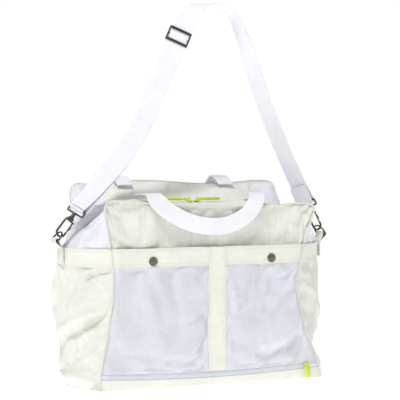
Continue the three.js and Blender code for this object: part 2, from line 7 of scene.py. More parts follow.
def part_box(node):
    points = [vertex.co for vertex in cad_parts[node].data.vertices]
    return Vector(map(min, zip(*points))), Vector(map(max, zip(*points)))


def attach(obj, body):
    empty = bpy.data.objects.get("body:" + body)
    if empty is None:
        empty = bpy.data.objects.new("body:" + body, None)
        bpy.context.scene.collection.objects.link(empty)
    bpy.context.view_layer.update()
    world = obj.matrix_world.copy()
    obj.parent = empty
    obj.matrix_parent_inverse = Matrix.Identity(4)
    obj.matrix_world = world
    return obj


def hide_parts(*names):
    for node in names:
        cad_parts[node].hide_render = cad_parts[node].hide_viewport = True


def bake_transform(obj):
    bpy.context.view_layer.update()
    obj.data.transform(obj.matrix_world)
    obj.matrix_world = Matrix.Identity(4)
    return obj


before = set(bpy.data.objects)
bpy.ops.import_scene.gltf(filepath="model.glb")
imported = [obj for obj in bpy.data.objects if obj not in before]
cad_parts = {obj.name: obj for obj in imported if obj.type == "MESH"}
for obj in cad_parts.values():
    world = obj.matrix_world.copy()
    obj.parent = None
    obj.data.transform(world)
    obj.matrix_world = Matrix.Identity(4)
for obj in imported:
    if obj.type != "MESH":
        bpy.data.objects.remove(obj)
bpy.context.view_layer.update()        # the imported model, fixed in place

scene = bpy.context.scene
mm = 0.001
print("frame loaded:", len(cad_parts), "nodes")


# ---- camera, floor and light ----

camera = {"target": (0.015, 0.0, 0.355), "azimuth": -23.5, "elevation": 1.9, "distance": 3.0, "lens": 135.3}
studio = {
    "floorSize": 14.0,
    "floorColour": "fbfbfa",
    "floorGlow": 0.70,        # keeps the paper white far from the lamps
    "skyColour": "ffffff",
    "skyStrength": 0.34,      # the light that the sky gives
    "backdropStrength": 1.0,  # how bright it is behind the bag
    "lamps": [      # place, size in metres, watts
        ((-1.3, -1.0, 2.9), 0.7, 52),
        ((1.9, -2.6, 1.9), 1.6, 8),
        ((0.3, 2.4, 2.6), 2.2, 10),
    ],
}


def linear(hexColour):
    shades = [int(hexColour[i:i + 2], 16) / 255 for i in (0, 2, 4)]
    return [s / 12.92 if s <= 0.04045 else ((s + 0.055) / 1.055) ** 2.4 for s in shades] + [1.0]


def addNode(tree, kind, inputs=None, **settings):      # links where an input is a socket, a value otherwise
    made = tree.nodes.new(kind)
    for name, value in settings.items():
        setattr(made, name, value)
    for name, value in (inputs or {}).items():
        if isinstance(value, bpy.types.NodeSocket):
            tree.links.new(value, made.inputs[name])
        else:
            made.inputs[name].default_value = value
    return made


def maths(tree, operation, *values):
    return addNode(tree, "ShaderNodeMath", dict(enumerate(values)), operation=operation).outputs[0]


def mapped(tree, value, source=(0, 1), target=(0, 1)):      # one range of values turned into another
    return addNode(tree, "ShaderNodeMapRange", {
        "Value": value, "From Min": source[0], "From Max": source[1],
        "To Min": target[0], "To Max": target[1]}).outputs[0]


def blended(tree, share, first, second):      # two colours; 6 and 7 are a Mix node's colour inputs
    return addNode(tree, "ShaderNodeMix", {"Factor": share, 6: first, 7: second}, data_type="RGBA").outputs[2]


def cloudy(tree, place, scale, detail, roughness=0.5, distortion=0.0):
    return addNode(tree, "ShaderNodeTexNoise", {
        "Vector": place, "Scale": scale, "Detail": detail,
        "Roughness": roughness, "Distortion": distortion}).outputs["Fac"]


def deselect():
    if bpy.context.object and bpy.context.object.mode != "OBJECT":
        bpy.ops.object.mode_set(mode="OBJECT")
    bpy.ops.object.select_all(action="DESELECT")


def pick(*pieces):       # the only ones selected, the first of them active
    deselect()
    for piece in pieces:
        piece.select_set(True)
    bpy.context.view_layer.objects.active = pieces[0]
    return pieces[0]


def setCamera():
    azimuth, elevation = math.radians(camera["azimuth"]), math.radians(camera["elevation"])
    away = Vector((math.sin(azimuth) * math.cos(elevation),
                   -math.cos(azimuth) * math.cos(elevation),
                   math.sin(elevation)))
    deselect()
    bpy.ops.object.camera_add(location=Vector(camera["target"]) + away * camera["distance"])
    eye = bpy.context.object
    eye.rotation_euler = away.to_track_quat("Z", "Y").to_euler()
    eye.data.lens = camera["lens"]
    eye.data.clip_end = 50
    scene.camera = eye


def setStage():
    deselect()
    bpy.ops.mesh.primitive_plane_add(size=studio["floorSize"], location=(0, 0, -0.4 * mm))
    floor = bpy.context.object
    floor.name = "floor"
    paper = bpy.data.materials.new("matte backdrop paper")
    paper.use_nodes = True
    shader = paper.node_tree.nodes["Principled BSDF"]
    shader.inputs["Base Color"].default_value = linear(studio["floorColour"])
    shader.inputs["Roughness"].default_value = 0.95
    shader.inputs["Emission Color"].default_value = linear(studio["floorColour"])
    shader.inputs["Emission Strength"].default_value = studio["floorGlow"]
    floor.data.materials.append(paper)
    world = bpy.data.worlds.new("studio")
    world.use_nodes = True
    sky = world.node_tree.nodes["Background"]
    sky.inputs["Color"].default_value = linear(studio["skyColour"])
    direct = addNode(world.node_tree, "ShaderNodeLightPath").outputs["Is Camera Ray"]
    strength = mapped(world.node_tree, direct, target=(studio["skyStrength"], studio["backdropStrength"]))
    world.node_tree.links.new(strength, sky.inputs["Strength"])
    scene.world = world
    for place, size, power in studio["lamps"]:
        deselect()
        bpy.ops.object.light_add(type="AREA", location=place)
        lamp = bpy.context.object
        lamp.data.shape = "DISK"
        lamp.data.size = size
        lamp.data.energy = power
        lamp.rotation_euler = (Vector(place) - Vector((0, 0, 0.3))).to_track_quat("Z", "Y").to_euler()
    scene.view_settings.view_transform = "Standard"


setCamera()
setStage()
print("camera, floor and light are set")


# ---- materials ----

def newMaterial(name):
    made = bpy.data.materials.new(name)
    made.use_nodes = True
    return made, made.node_tree, made.node_tree.nodes["Principled BSDF"]


stitch = {"halfWidth": 0.45 * mm, "pitch": 3.2 * mm, "length": 2.5 * mm, "height": 2.5}


# A woven cloth whose UV map is in metres: the weave, creases left by handling, and rows of stitches. Its
# colour darkens in the creases' hollows, which is painted shade, and in random patches, which is real
# mottling; on the zip tape its rows are painted shadow lines where the cloth edges lie over the tape.
def wovenCloth(name, colour, shade, thread, weaveDepth, crease, creaseDepth, sheen=0.25, rough=0.78,
               creaseStretch=(1, 1), rows=(), ribbed=False, stitchAndEdgeShadowColour="d9d9cf", middle=None):
    made, tree, shader = newMaterial(name)
    uv = addNode(tree, "ShaderNodeUVMap", uv_map="UVMap").outputs["UV"]
    waveScale = 2 * math.pi / 20 / thread      # a wave texture turns 20 radians for each unit of its scale
    warp, weft = (
        addNode(tree, "ShaderNodeTexWave", {"Vector": uv, "Scale": scale, "Distortion": 0.6, "Detail": 1.0},
                bands_direction=way).outputs["Fac"]
        for way, scale in (("X", waveScale), ("Y", waveScale * (0.4 if ribbed else 1))))
    height = maths(tree, "MULTIPLY", warp, weft)
    stretched = addNode(tree, "ShaderNodeMapping", {"Vector": uv, "Scale": (*creaseStretch, 1)}).outputs[0]
    creases = cloudy(tree, stretched, 1 / crease, 5.0, 0.62, 0.7)
    patches = cloudy(tree, uv, 14.0, 3.0)
    # painted shade: the colour turns to the shade colour in the creases' hollows, and also in random patches
    # of real mottling
    creaseShadeAndMottle = mapped(tree, maths(tree, "MULTIPLY", creases, patches), (0.08, 0.34), (0.25, 1))
    final = blended(tree, creaseShadeAndMottle, linear(shade), linear(colour))
    if middle:                # another colour within so far of the bag's middle
        place = addNode(tree, "ShaderNodeTexCoord").outputs["Object"]
        sideways = addNode(tree, "ShaderNodeSeparateXYZ", {"Vector": place}).outputs["X"]
        aside = maths(tree, "ABSOLUTE", sideways)
        inside = mapped(tree, aside, (middle[1] + 1 * mm, middle[1] - 1 * mm))
        final = blended(tree, inside, final, linear(middle[0]))
    if rows:
        axes = addNode(tree, "ShaderNodeSeparateXYZ", {"Vector": uv}).outputs
        stitchAndShadowRows = None
        for axis, at in rows:
            across, along = (axes["Y"], axes["X"]) if axis == "u" else (axes["X"], axes["Y"])
            near = maths(tree, "COMPARE", across, at, stitch["halfWidth"])
            beat = maths(tree, "FLOORED_MODULO", along, stitch["pitch"])
            row = maths(tree, "MULTIPLY", near, maths(tree, "LESS_THAN", beat, stitch["length"]))
            stitchAndShadowRows = row if stitchAndShadowRows is None else maths(tree, "MAXIMUM", stitchAndShadowRows, row)
        # the rows take this colour: real thread on the bands, painted shadow lines of the cloth edges on the
        # zip tape
        final = blended(tree, stitchAndShadowRows, final, linear(stitchAndEdgeShadowColour))
        height = maths(tree, "ADD", height, maths(tree, "MULTIPLY", stitchAndShadowRows, stitch["height"]))
    tree.links.new(final, shader.inputs["Base Color"])
    fine = addNode(tree, "ShaderNodeBump", {"Height": height, "Strength": 0.6, "Distance": weaveDepth})
    broad = addNode(tree, "ShaderNodeBump", {"Height": creases, "Strength": 0.7, "Distance": creaseDepth,
                                             "Normal": fine.outputs[0]})
    tree.links.new(broad.outputs[0], shader.inputs["Normal"])
    gloss = mapped(tree, patches, (0.3, 0.7), (rough - 0.08, rough + 0.06))
    tree.links.new(gloss, shader.inputs["Roughness"])
    shader.inputs["Sheen Weight"].default_value = sheen
    shader.inputs["Sheen Roughness"].default_value = 0.5
    shader.inputs["Specular IOR Level"].default_value = 0.35
    return made


# A hard surface, plated, painted or moulded, whose edges and high spots are rubbed lighter.
def hardSurface(name, colour, rubbed, metallic, rough, grain, coat=0.0):
    made, tree, shader = newMaterial(name)
    place = addNode(tree, "ShaderNodeTexCoord").outputs["Object"]
    smudges = cloudy(tree, place, 1 / (4 * mm), 4.0, 0.6)
    edge = addNode(tree, "ShaderNodeNewGeometry").outputs["Pointiness"]
    rub, patch = mapped(tree, edge, (0.51, 0.6)), mapped(tree, smudges, (0.45, 0.75))
    amount = maths(tree, "MULTIPLY", maths(tree, "MAXIMUM", rub, patch), 0.6)
    tree.links.new(blended(tree, amount, linear(colour), linear(rubbed)), shader.inputs["Base Color"])
    shader.inputs["Metallic"].default_value = metallic
    spread = mapped(tree, smudges, (0.3, 0.7), (rough - 0.08, rough + 0.1))
    tree.links.new(spread, shader.inputs["Roughness"])
    pits = cloudy(tree, place, 1 / grain, 2.0)
    bump = addNode(tree, "ShaderNodeBump", {"Height": pits, "Strength": 0.35, "Distance": 0.05 * mm})
    tree.links.new(bump.outputs[0], shader.inputs["Normal"])
    shader.inputs["Coat Weight"].default_value = coat
    return made


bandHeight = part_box("pocket_hem_band")[1].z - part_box("pocket_hem_band")[0].z
webbingWidth = 38 * mm


def edgeRows(width, insets=(2.2 * mm, 6.0 * mm), axis="u"):       # double rows along both edges
    return [(axis, at) for at in insets] + [(axis, width - at) for at in insets]


# Washed nylon taslan, plain woven and heat creased: matte, with a dry crinkled hand. Its threads are drawn
# about 1 mm apart.
shellNylon = wovenCloth("washed nylon, off-white", "ebebe4", "d8d9d0", 1.1 * mm, 0.10 * mm, 13 * mm, 0.9 * mm)
# The same cloth on the front, pressed into upright crinkles.
crinkledNylon = wovenCloth("crinkled nylon, greenish white", "e9ebe3", "d6d9cf", 1.1 * mm, 0.10 * mm,
                           8 * mm, 1.3 * mm, creaseStretch=(1, 0.22))
# Smooth nylon with a faint lilac dye: finer, flatter, a little glossier.
greyNylon = wovenCloth("smooth nylon, lilac grey", "dcdde3", "cdced6", 1.0 * mm, 0.07 * mm, 42 * mm, 0.8 * mm,
                       rough=0.7, sheen=0.2)
lilacNylon = wovenCloth("smooth nylon, lilac white with an ivory middle", "eeeef5", "dfdfe9", 1.0 * mm,
                        0.07 * mm, 24 * mm, 1.0 * mm, rough=0.72, middle=("ecece5", 172 * mm))
# Cotton twill tape, woven thick and soft: warm white, dull, sewn down with double rows.
hemTwill = wovenCloth("cotton twill band, stitched", "eeede4", "e2e1d6", 1.3 * mm, 0.16 * mm, 20 * mm,
                      0.4 * mm, rough=0.88, rows=edgeRows(bandHeight))
plainTwill = wovenCloth("cotton twill", "edede3", "dfe0d2", 1.3 * mm, 0.16 * mm, 20 * mm, 0.35 * mm,
                        rough=0.88)
pipingTwill = wovenCloth("cotton piping", "e2e3da", "cfd2c6", 1.0 * mm, 0.12 * mm, 12 * mm, 0.2 * mm,
                         rough=0.85)
# Polypropylene webbing, ribbed along its length: bright cold white with a slight gloss.
webbing = wovenCloth("polypropylene webbing", "f1f1f8", "e6e6ef", 1.6 * mm, 0.22 * mm, 30 * mm, 0.3 * mm,
                     rough=0.62, sheen=0.15, ribbed=True)
handleWebbing = wovenCloth("polypropylene handle webbing", "f3f3f9", "e8e8f0", 1.6 * mm, 0.22 * mm, 26 * mm,
                           0.4 * mm, rough=0.62, sheen=0.15, ribbed=True)
# The zip tape's two dark rows are painted shadow lines where the cloth edges lie over the tape, drawn as
# dashed stitch rows.
zipCloth = wovenCloth("polyester zip tape", "e0e3ea", "cdd2db", 0.9 * mm, 0.12 * mm, 20 * mm, 0.2 * mm,
                      rough=0.7, ribbed=True, rows=[("u", 2.4 * mm), ("u", 11.6 * mm)], stitchAndEdgeShadowColour="8d98aa")
# Moulded nylon coil of the zips.
coilNylon = hardSurface("moulded nylon teeth", "d3d6dc", "e9ebef", 0.0, 0.42, 0.6 * mm)
# Zinc die casting with a blackened nickel finish, rubbed bright on its edges.
gunmetal = hardSurface("gunmetal plated zinc", "3f4040", "8d8b80", 1.0, 0.34, 0.5 * mm)
# Brass caps in an aged olive-grey plating.
agedBrass = hardSurface("aged brass cap", "6c6b59", "a9a794", 1.0, 0.42, 0.4 * mm)
# Powder-coated zinc sliders and rubber-dipped pulls in fluorescent lime.
limePaint = hardSurface("fluorescent lime coating", "cfe106", "e4f03a", 0.0, 0.4, 0.35 * mm, coat=0.25)
# Polyethylene stiffening sheet inside the base.
boardPlastic = hardSurface("polyethylene board", "8c8c8c", "a0a0a0", 0.0, 0.55, 1.2 * mm)
print("materials are made")


# ---- the bag's shape ----

def smooth(t):
    t = min(max(t, 0.0), 1.0)
    return t * t * (3 - 2 * t)


def mix(a, b, t):
    return a + (b - a) * t


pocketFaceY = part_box("pocket_panel_lower")[0].y
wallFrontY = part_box("front_panel_upper")[0].y
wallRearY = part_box("rear_panel_upper")[1].y
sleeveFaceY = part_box("rear_sleeve_panel")[1].y
bandLow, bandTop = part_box("pocket_hem_band")[0].z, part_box("pocket_hem_band")[1].z
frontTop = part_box("front_panel_upper")[1].z
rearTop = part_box("rear_panel_upper")[1].z
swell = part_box("base_panel")[1].x
bag = {
    "seam": 229.5 * mm,       # half width at the side seams, before they pull in
    "frontSeamY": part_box("gusset_left")[0].y - 1.5 * mm,
    "rearSeamY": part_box("gusset_left")[1].y,
    "pullTop": 362 * mm,      # height where the seams are straight again
    "pulls": {                # how far each side seam pulls in, and at what height
        ("front", -1): (22 * mm, 200 * mm),
        ("front", 1): (44 * mm, 190 * mm),
        ("rear", -1): (10 * mm, 200 * mm),
        ("rear", 1): (14 * mm, 190 * mm),
    },
    "leans": {                # how far in each seam ends at the top, and how far out it starts at the bottom
        ("front", -1): (8 * mm, 1 * mm),
        ("front", 1): (0 * mm, 9 * mm),
        ("rear", -1): (4 * mm, 0 * mm),
        ("rear", 1): (2 * mm, 0 * mm),
    },
    "baseRound": 12 * mm,
    "topSag": 13 * mm,
    "corner": 20 * mm,
}


def seamX(face, side, z):     # distance of a side seam from the middle of the bag
    depth, middle = bag["pulls"][face, side]
    power = math.log(0.5) / math.log(middle / bag["pullTop"])
    t = min(max(z / bag["pullTop"], 0.0), 1.0)
    inwards, outwards = bag["leans"][face, side]
    lean = inwards * t - outwards * (1 - smooth(z / (110 * mm)))
    return bag["seam"] - lean - depth * math.sin(math.pi * t ** power) ** 1.5


def gussetPoint(side, t, z, lift=0.0):       # t runs from the front seam to the rear one
    edge = mix(seamX("front", side, z), seamX("rear", side, z), t)
    middle = mix(seamX("front", side, z), seamX("rear", side, z), 0.5)
    full = (swell - middle) * (1 - (2 * t - 1) ** 2)
    if side > 0:              # the right side is slack near the bottom
        full *= mix(0.7, 1, smooth(z / (100 * mm)))
    tuck = bag["baseRound"] * (1 - smooth(z / (28 * mm))) * (0.35 + 0.65 * (1 - (2 * t - 1) ** 2))
    return Vector((side * (edge + full + lift - tuck), mix(bag["frontSeamY"], bag["rearSeamY"], t), z))


def wander(x, y, scale, size, seed):         # a smooth unevenness of cloth
    return size * noise.noise(Vector((x / scale, y / scale, seed)))


# A piece of cloth as a grid laid by a function of its two directions, with a UV map in metres.
def cutCloth(name, lay, size, spacing=5 * mm):
    deselect()
    bpy.ops.mesh.primitive_grid_add(x_subdivisions=max(2, round(size[0] / spacing)),
                                    y_subdivisions=max(2, round(size[1] / spacing)), size=1)
    cloth = bpy.context.object
    cloth.name = name
    for vertex in cloth.data.vertices:
        vertex.co = lay(vertex.co.x + 0.5, vertex.co.y + 0.5)
    for corner in cloth.data.uv_layers.active.data:
        corner.uv = (corner.uv[0] * size[0], corner.uv[1] * size[1])
    cloth.data.uv_layers.active.name = "UVMap"
    return cloth


crumple = {"frames": 20, "steps": 5, "mass": 0.15, "stretch": 18, "bend": 0.6}
waiting = []


# Sewn along its edges, a sheet is cut a little larger than its frame, so it swells and folds.
def fillCloth(cloth, held, growth, push, reach, ripple=1.2 * mm, rippleSize=34 * mm, seed=0.0):
    flat = [vertex.co.copy() for vertex in cloth.data.vertices]
    normals = [vertex.normal.copy() for vertex in cloth.data.vertices]
    group = cloth.vertex_groups.new(name="sewn")
    sewn = [i for i, co in enumerate(flat) if held(i, co)]
    group.add(sewn, 1.0, "REPLACE")
    fixed = set(sewn)
    for i, vertex in enumerate(cloth.data.vertices):
        if i not in fixed:
            vertex.co += normals[i] * wander(*uvLike(flat[i]), rippleSize, ripple, seed)
    waiting.append({"cloth": cloth, "flat": flat, "growth": growth, "push": push, "reach": reach})


def uvLike(co):               # two directions that run along any wall of the bag
    return co.x + co.y, co.z + 0.4 * co.y


def onEdge(columns, rows):    # vertex numbers on the border of a grid
    return {r * (columns + 1) + c for r in range(rows + 1) for c in range(columns + 1)
            if r in (0, rows) or c in (0, columns)}


def gridSize(size, spacing=5 * mm):
    return max(2, round(size[0] / spacing)), max(2, round(size[1] / spacing))


def runCloth():
    for sheet in waiting:
        modifier = sheet["cloth"].modifiers.new("Cloth", "CLOTH")
        settings = modifier.settings
        settings.quality = crumple["steps"]
        settings.mass = crumple["mass"]
        settings.tension_stiffness = crumple["stretch"]
        settings.compression_stiffness = crumple["stretch"]
        settings.shear_stiffness = crumple["stretch"] / 3
        settings.bending_stiffness = crumple["bend"]
        settings.vertex_group_mass = "sewn"
        settings.shrink_min = -sheet["growth"]
        settings.use_pressure = True
        settings.uniform_pressure_force = sheet["push"]
        settings.effector_weights.gravity = 0.15
        modifier.collision_settings.use_collision = False
        modifier.point_cache.frame_start = 1
        modifier.point_cache.frame_end = crumple["frames"]
    for step in range(1, crumple["frames"] + 1):
        scene.frame_set(step)
    for sheet in waiting:
        pick(sheet["cloth"])
        bpy.ops.object.modifier_apply(modifier="Cloth")
    scene.frame_set(1)


def settleCloth():
    runCloth()
    farthest = 0
    for sheet in waiting:
        reach = sheet["reach"]
        for vertex, start in zip(sheet["cloth"].data.vertices, sheet["flat"]):
            move = vertex.co - start
            farthest = max(farthest, move.length)
            if move.length > 1e-7:
                vertex.co = start + move * (reach * math.tanh(move.length / reach) / move.length)
    print("cloth settled, farthest move", round(farthest * 1000, 1), "mm")


# Fine folds pressed into the cloth, on a finer mesh than the one that was filled.
def pressFolds(cloth, folds):
    cloth.data.update()
    normals = [vertex.normal.copy() for vertex in cloth.data.vertices]
    for vertex, normal in zip(cloth.data.vertices, normals):
        vertex.co += normal * folds(vertex.co)


# Soft ridges and hollows along short lines: each is two ends, how wide it is and how far it stands out.
def creaseLines(across, up, lines):
    total = 0.0
    for (x0, z0), (x1, z1), width, height in lines:
        runX, runZ = (x1 - x0) * mm, (z1 - z0) * mm
        length = math.hypot(runX, runZ)
        dx, dz = across - x0 * mm, up - z0 * mm
        along = (dx * runX + dz * runZ) / length
        aside = (dz * runX - dx * runZ) / length
        t = along / length
        if -0.3 < t < 1.3:
            fade = smooth((t + 0.3) / 0.5) * smooth((1.3 - t) / 0.5)
            spread = width * mm * (0.6 + 0.8 * min(max(t, 0), 1))
            total += height * mm * fade * math.exp(-(aside / spread) ** 2)
    return total


def refine(cloth):
    pick(cloth)
    finer = cloth.modifiers.new("Finer", "SUBSURF")
    finer.levels = finer.render_levels = 1
    bpy.ops.object.modifier_apply(modifier="Finer")


def thicken(cloth, thickness, offset=-1.0):
    pick(cloth)
    wall = cloth.modifiers.new("Wall", "SOLIDIFY")
    wall.thickness = thickness
    wall.offset = offset
    bpy.ops.object.modifier_apply(modifier="Wall")
    smoothShade(cloth)


def smoothShade(piece, angle=50):
    pick(piece)
    bpy.ops.object.shade_smooth_by_angle(angle=math.radians(angle))
    return piece


def dress(piece, material, replaces=()):
    piece.data.materials.clear()
    piece.data.materials.append(material)
    if replaces:
        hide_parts(*replaces)
    return piece


def hangOnMouth(piece, half):
    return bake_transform(piece)


# ---- lower body: gussets, walls, base ----

gussetCloth = {"growth": 0.07, "push": 0.6, "reach": 11 * mm, "wall": 1.2 * mm}


# In millimetres of depth and height: ends, width, height outwards.
gussetFolds = {
    "left": [
        ((-86, 160), (10, 100), 8, 9.0), ((-76, 140), (10, 70), 10, -8.0), ((-84, 226), (-40, 196), 9, -9.0),
        ((-60, 226), (-30, 150), 7, 7.0), ((-10, 232), (-20, 130), 7, -7.0), ((20, 230), (50, 120), 9, 8.0),
        ((-80, 80), (-20, 20), 11, 8.0), ((-60, 40), (40, 25), 9, -8.0), ((60, 236), (90, 150), 8, -7.0),
        ((30, 110), (80, 60), 12, 7.0),
    ],
    "right": [
        ((-84, 190), (-15, 110), 8, 7.0), ((-60, 232), (-50, 150), 8, -7.0), ((0, 236), (20, 120), 9, 6.5),
        ((40, 232), (80, 140), 9, -6.5), ((-80, 60), (20, 30), 11, -7.0), ((-10, 90), (60, 60), 12, 6.0),
    ],
}


def makeGussets():
    low, high = 1.5 * mm, bandTop - 1 * mm
    depth = bag["rearSeamY"] - bag["frontSeamY"] + 22 * mm
    for name, side in (("left", -1), ("right", 1)):
        def lay(u, v):
            return gussetPoint(side, u if side > 0 else 1 - u, mix(low, high, v))
        size = (depth, high - low)
        gusset = cutCloth("gusset_cloth_" + name, lay, size)
        columns, rows = gridSize(size)
        edge = onEdge(columns, rows)
        underBand = bandLow + 4 * mm

        def held(i, co):
            return i in edge or co.z > underBand
        fillCloth(gusset, held, gussetCloth["growth"], gussetCloth["push"], gussetCloth["reach"],
                  seed=3.0 + side)
        yield gusset, name


def finishGusset(gusset, name):
    refine(gusset)

    def folds(co):
        sewn = min(co.y - bag["frontSeamY"], bag["rearSeamY"] - co.y, bandLow - co.z, co.z)
        calm = smooth(sewn / (16 * mm))
        crinkle = wander(co.y, co.z * 0.5, 11 * mm, 0.6 * mm, 9.0)
        slack = wander(co.y + 0.5 * co.z, co.z - 0.3 * co.y, 48 * mm, 3.0 * mm, 14.0)
        return calm * (creaseLines(co.y, co.z, gussetFolds[name]) + crinkle + slack)
    pressFolds(gusset, folds)
    thicken(gusset, gussetCloth["wall"])
    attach(dress(gusset, shellNylon, ("gusset_" + name,)), "bag")


def makeGussetBands():
    depth = bag["rearSeamY"] - bag["frontSeamY"] + 22 * mm
    for name, side in (("left", -1), ("right", 1)):
        def lay(u, v):
            point = gussetPoint(side, u if side > 0 else 1 - u, mix(bandLow, bandTop, v), lift=1.3 * mm)
            point.x += side * wander(point.y, point.z, 40 * mm, 0.7 * mm, 4.0 + side)
            return point
        band = cutCloth("gusset_band_tape_" + name, lay, (depth, bandHeight), 4 * mm)
        refine(band)
        thicken(band, 1.4 * mm, offset=0.6)
        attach(dress(band, hemTwill, ("gusset_band_" + name,)), "bag")


def makeWalls():
    top = bandTop - 0.5 * mm
    for face, y, out in (("front", wallFrontY, -1), ("rear", wallRearY, 1)):
        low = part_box(face + "_wall")[0].z

        def lay(u, v):
            z = mix(low, top, v)
            x = mix(-1, 1, u if out < 0 else 1 - u)
            half = seamX(face, -1 if x < 0 else 1, z) - 1.5 * mm
            tuck = 0.6 * mm + 1.4 * mm * (1 - smooth((1 - abs(x)) / 0.04))
            return Vector((x * half, y - out * tuck, z))
        wall = cutCloth(face + "_wall_cloth", lay, (2 * bag["seam"], top), 8 * mm)
        thicken(wall, 1.2 * mm)
        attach(dress(wall, shellNylon, (face + "_wall",)), "bag")


def makeBase():
    front, rear = pocketFaceY + 1 * mm, sleeveFaceY - 1 * mm

    def lay(u, v):
        y = mix(front, rear, v)
        t = (y - bag["frontSeamY"]) / (bag["rearSeamY"] - bag["frontSeamY"])
        edge = gussetPoint(1, min(max(t, 0), 1), 0.0).x
        return Vector((mix(-edge, edge, u), y, 1.0 * mm))
    base = cutCloth("base_cloth", lay, (2 * swell, rear - front), 8 * mm)
    bpy.ops.object.mode_set(mode="EDIT")
    bpy.ops.mesh.select_all(action="SELECT")
    bpy.ops.mesh.flip_normals()
    bpy.ops.object.mode_set(mode="OBJECT")
    thicken(base, 1.8 * mm, offset=0.0)
    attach(dress(base, plainTwill, ("base_panel",)), "bag")
    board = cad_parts["base_board"]
    board.data.materials.clear()
    board.data.materials.append(boardPlastic)


# ---- front pocket and rear sleeve ----

pocketCloth = {"growth": 0.05, "push": 0.6, "reach": 9 * mm, "wall": 1.1 * mm, "openBelow": 30 * mm}
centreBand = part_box("centre_band_lower")
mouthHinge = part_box("pocket_panel_upper")[0].z
cutX = 150 * mm               # the snaps lie inside this, so they stay on the middle piece


# Across a face between its side seams, tucked in at both. Where it is cut, a share of its width at each side
# lies outside the cuts, which run straight up.
def facePoint(u, z, face, y, tuck=4.5 * mm, cutShare=None):
    share = mix(-1, 1, u)
    side = -1 if share < 0 else 1
    half = seamX(face, side, z)
    if cutShare is None:
        x = abs(share) * half
    elif abs(share) < 1 - 2 * cutShare:
        x = abs(share) / (1 - 2 * cutShare) * cutX
    else:
        x = mix(cutX, half, (abs(share) - 1 + 2 * cutShare) / (2 * cutShare))
    inwards = 1 if face == "front" else -1
    return Vector((side * x, y + inwards * tuck * (1 - smooth((half - x) / (11 * mm))), z))


def cutColumn(size, spacing=5 * mm):             # the columns outside each cut, and their share of the width
    columns = gridSize(size, spacing)[0]
    outside = round(0.15 * columns)
    return outside / columns


def zipSag(x):                # the bottom zip hangs lower between its ends
    return 6 * mm * max(0.0, 1 - (x / (205 * mm)) ** 2)


pocketFolds = [      # in millimetres of width and height: ends, width, height outwards
    ((176, 216), (100, 160), 8, -5.0), ((182, 196), (110, 126), 10, 5.5), ((60, 60), (190, 100), 13, 4.5),
    ((-190, 188), (-120, 176), 7, -4.0), ((-150, 220), (-110, 90), 13, 4.5),
    ((-86, 214), (-70, 110), 11, -4.0), ((-180, 66), (-80, 50), 12, -4.0),
    ((-30, 90), (-70, 50), 11, 4.0), ((40, 196), (60, 90), 13, 3.5),
]


def makePocketPanel():
    low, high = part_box("pocket_panel_lower")[0].z - 1.5 * mm, bandLow + 3 * mm
    size = (2 * bag["seam"], high - low)
    share = cutColumn(size)

    def lay(u, v):
        point = facePoint(u, mix(low, high, v), "front", pocketFaceY + 0.4 * mm, cutShare=share)
        point.z -= zipSag(point.x) * (1 - smooth(v / 0.6))
        return point
    panel = cutCloth("pocket_panel", lay, size)
    columns, rows = gridSize(size)
    edge = onEdge(columns, rows)
    bandFrom, bandTo = centreBand[0].x - 1 * mm, centreBand[1].x + 1 * mm
    fillCloth(panel, lambda i, co: i in edge or bandFrom < co.x < bandTo,
              pocketCloth["growth"], pocketCloth["push"], pocketCloth["reach"],
              ripple=2.2 * mm, rippleSize=60 * mm, seed=1.0)
    return panel, share


# Cuts a finished sheet in three along two columns of its grid, keeping its shading.
def splitAcross(sheet, cutShare, names):
    smoothShade(sheet)
    width = max(corner.uv[0] for corner in sheet.data.uv_layers.active.data)
    for face in sheet.data.polygons:
        for corner in face.loop_indices:
            u = sheet.data.uv_layers.active.data[corner].uv[0] / width
            for side, at in ((-1, cutShare), (1, 1 - cutShare)):
                if abs(u - at) < 1e-5:
                    sheet.data.vertices[sheet.data.loops[corner].vertex_index].co.x = side * cutX
    sheet.data.update()
    shading = {}
    for face in sheet.data.polygons:
        for corner in face.loop_indices:
            co = sheet.data.vertices[sheet.data.loops[corner].vertex_index].co
            key = tuple(round(c, 6) for c in (*face.center, *co))
            shading[key] = sheet.data.corner_normals[corner].vector.copy()
    parts = []
    bounds = [-1.0, cutShare, 1 - cutShare, 2.0]
    for name, low, high in zip(names, bounds, bounds[1:]):
        part = sheet.copy()
        part.data = sheet.data.copy()
        part.name = name
        scene.collection.objects.link(part)
        pick(part)
        for face in part.data.polygons:
            us = [part.data.uv_layers.active.data[corner].uv[0] / width for corner in face.loop_indices]
            face.select = not (low < sum(us) / len(us) < high)
        for vertex in part.data.vertices:
            vertex.select = False
        bpy.ops.object.mode_set(mode="EDIT")
        bpy.ops.mesh.select_mode(type="FACE")
        bpy.ops.mesh.delete(type="FACE")
        bpy.ops.object.mode_set(mode="OBJECT")
        normals = [Vector((0, 0, 0))] * len(part.data.loops)
        for face in part.data.polygons:
            for corner in face.loop_indices:
                co = part.data.vertices[part.data.loops[corner].vertex_index].co
                key = tuple(round(c, 6) for c in (*face.center, *co))
                normals[corner] = shading.get(key, Vector((0, 0, 0)))
        part.data.normals_split_custom_set(normals)
        parts.append(part)
    bpy.data.objects.remove(sheet)
    return parts


def mouthBlends(parts):       # bakes each part's placement into its mesh; the hinge points worked out here are not used
    start = Vector((0, 0, mouthHinge))
    for part, side in zip(parts, (-1, 0, 1)):
        origin = start.copy()
        if side:
            origin = Vector((side * cutX, 0, mouthHinge))
        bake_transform(part)


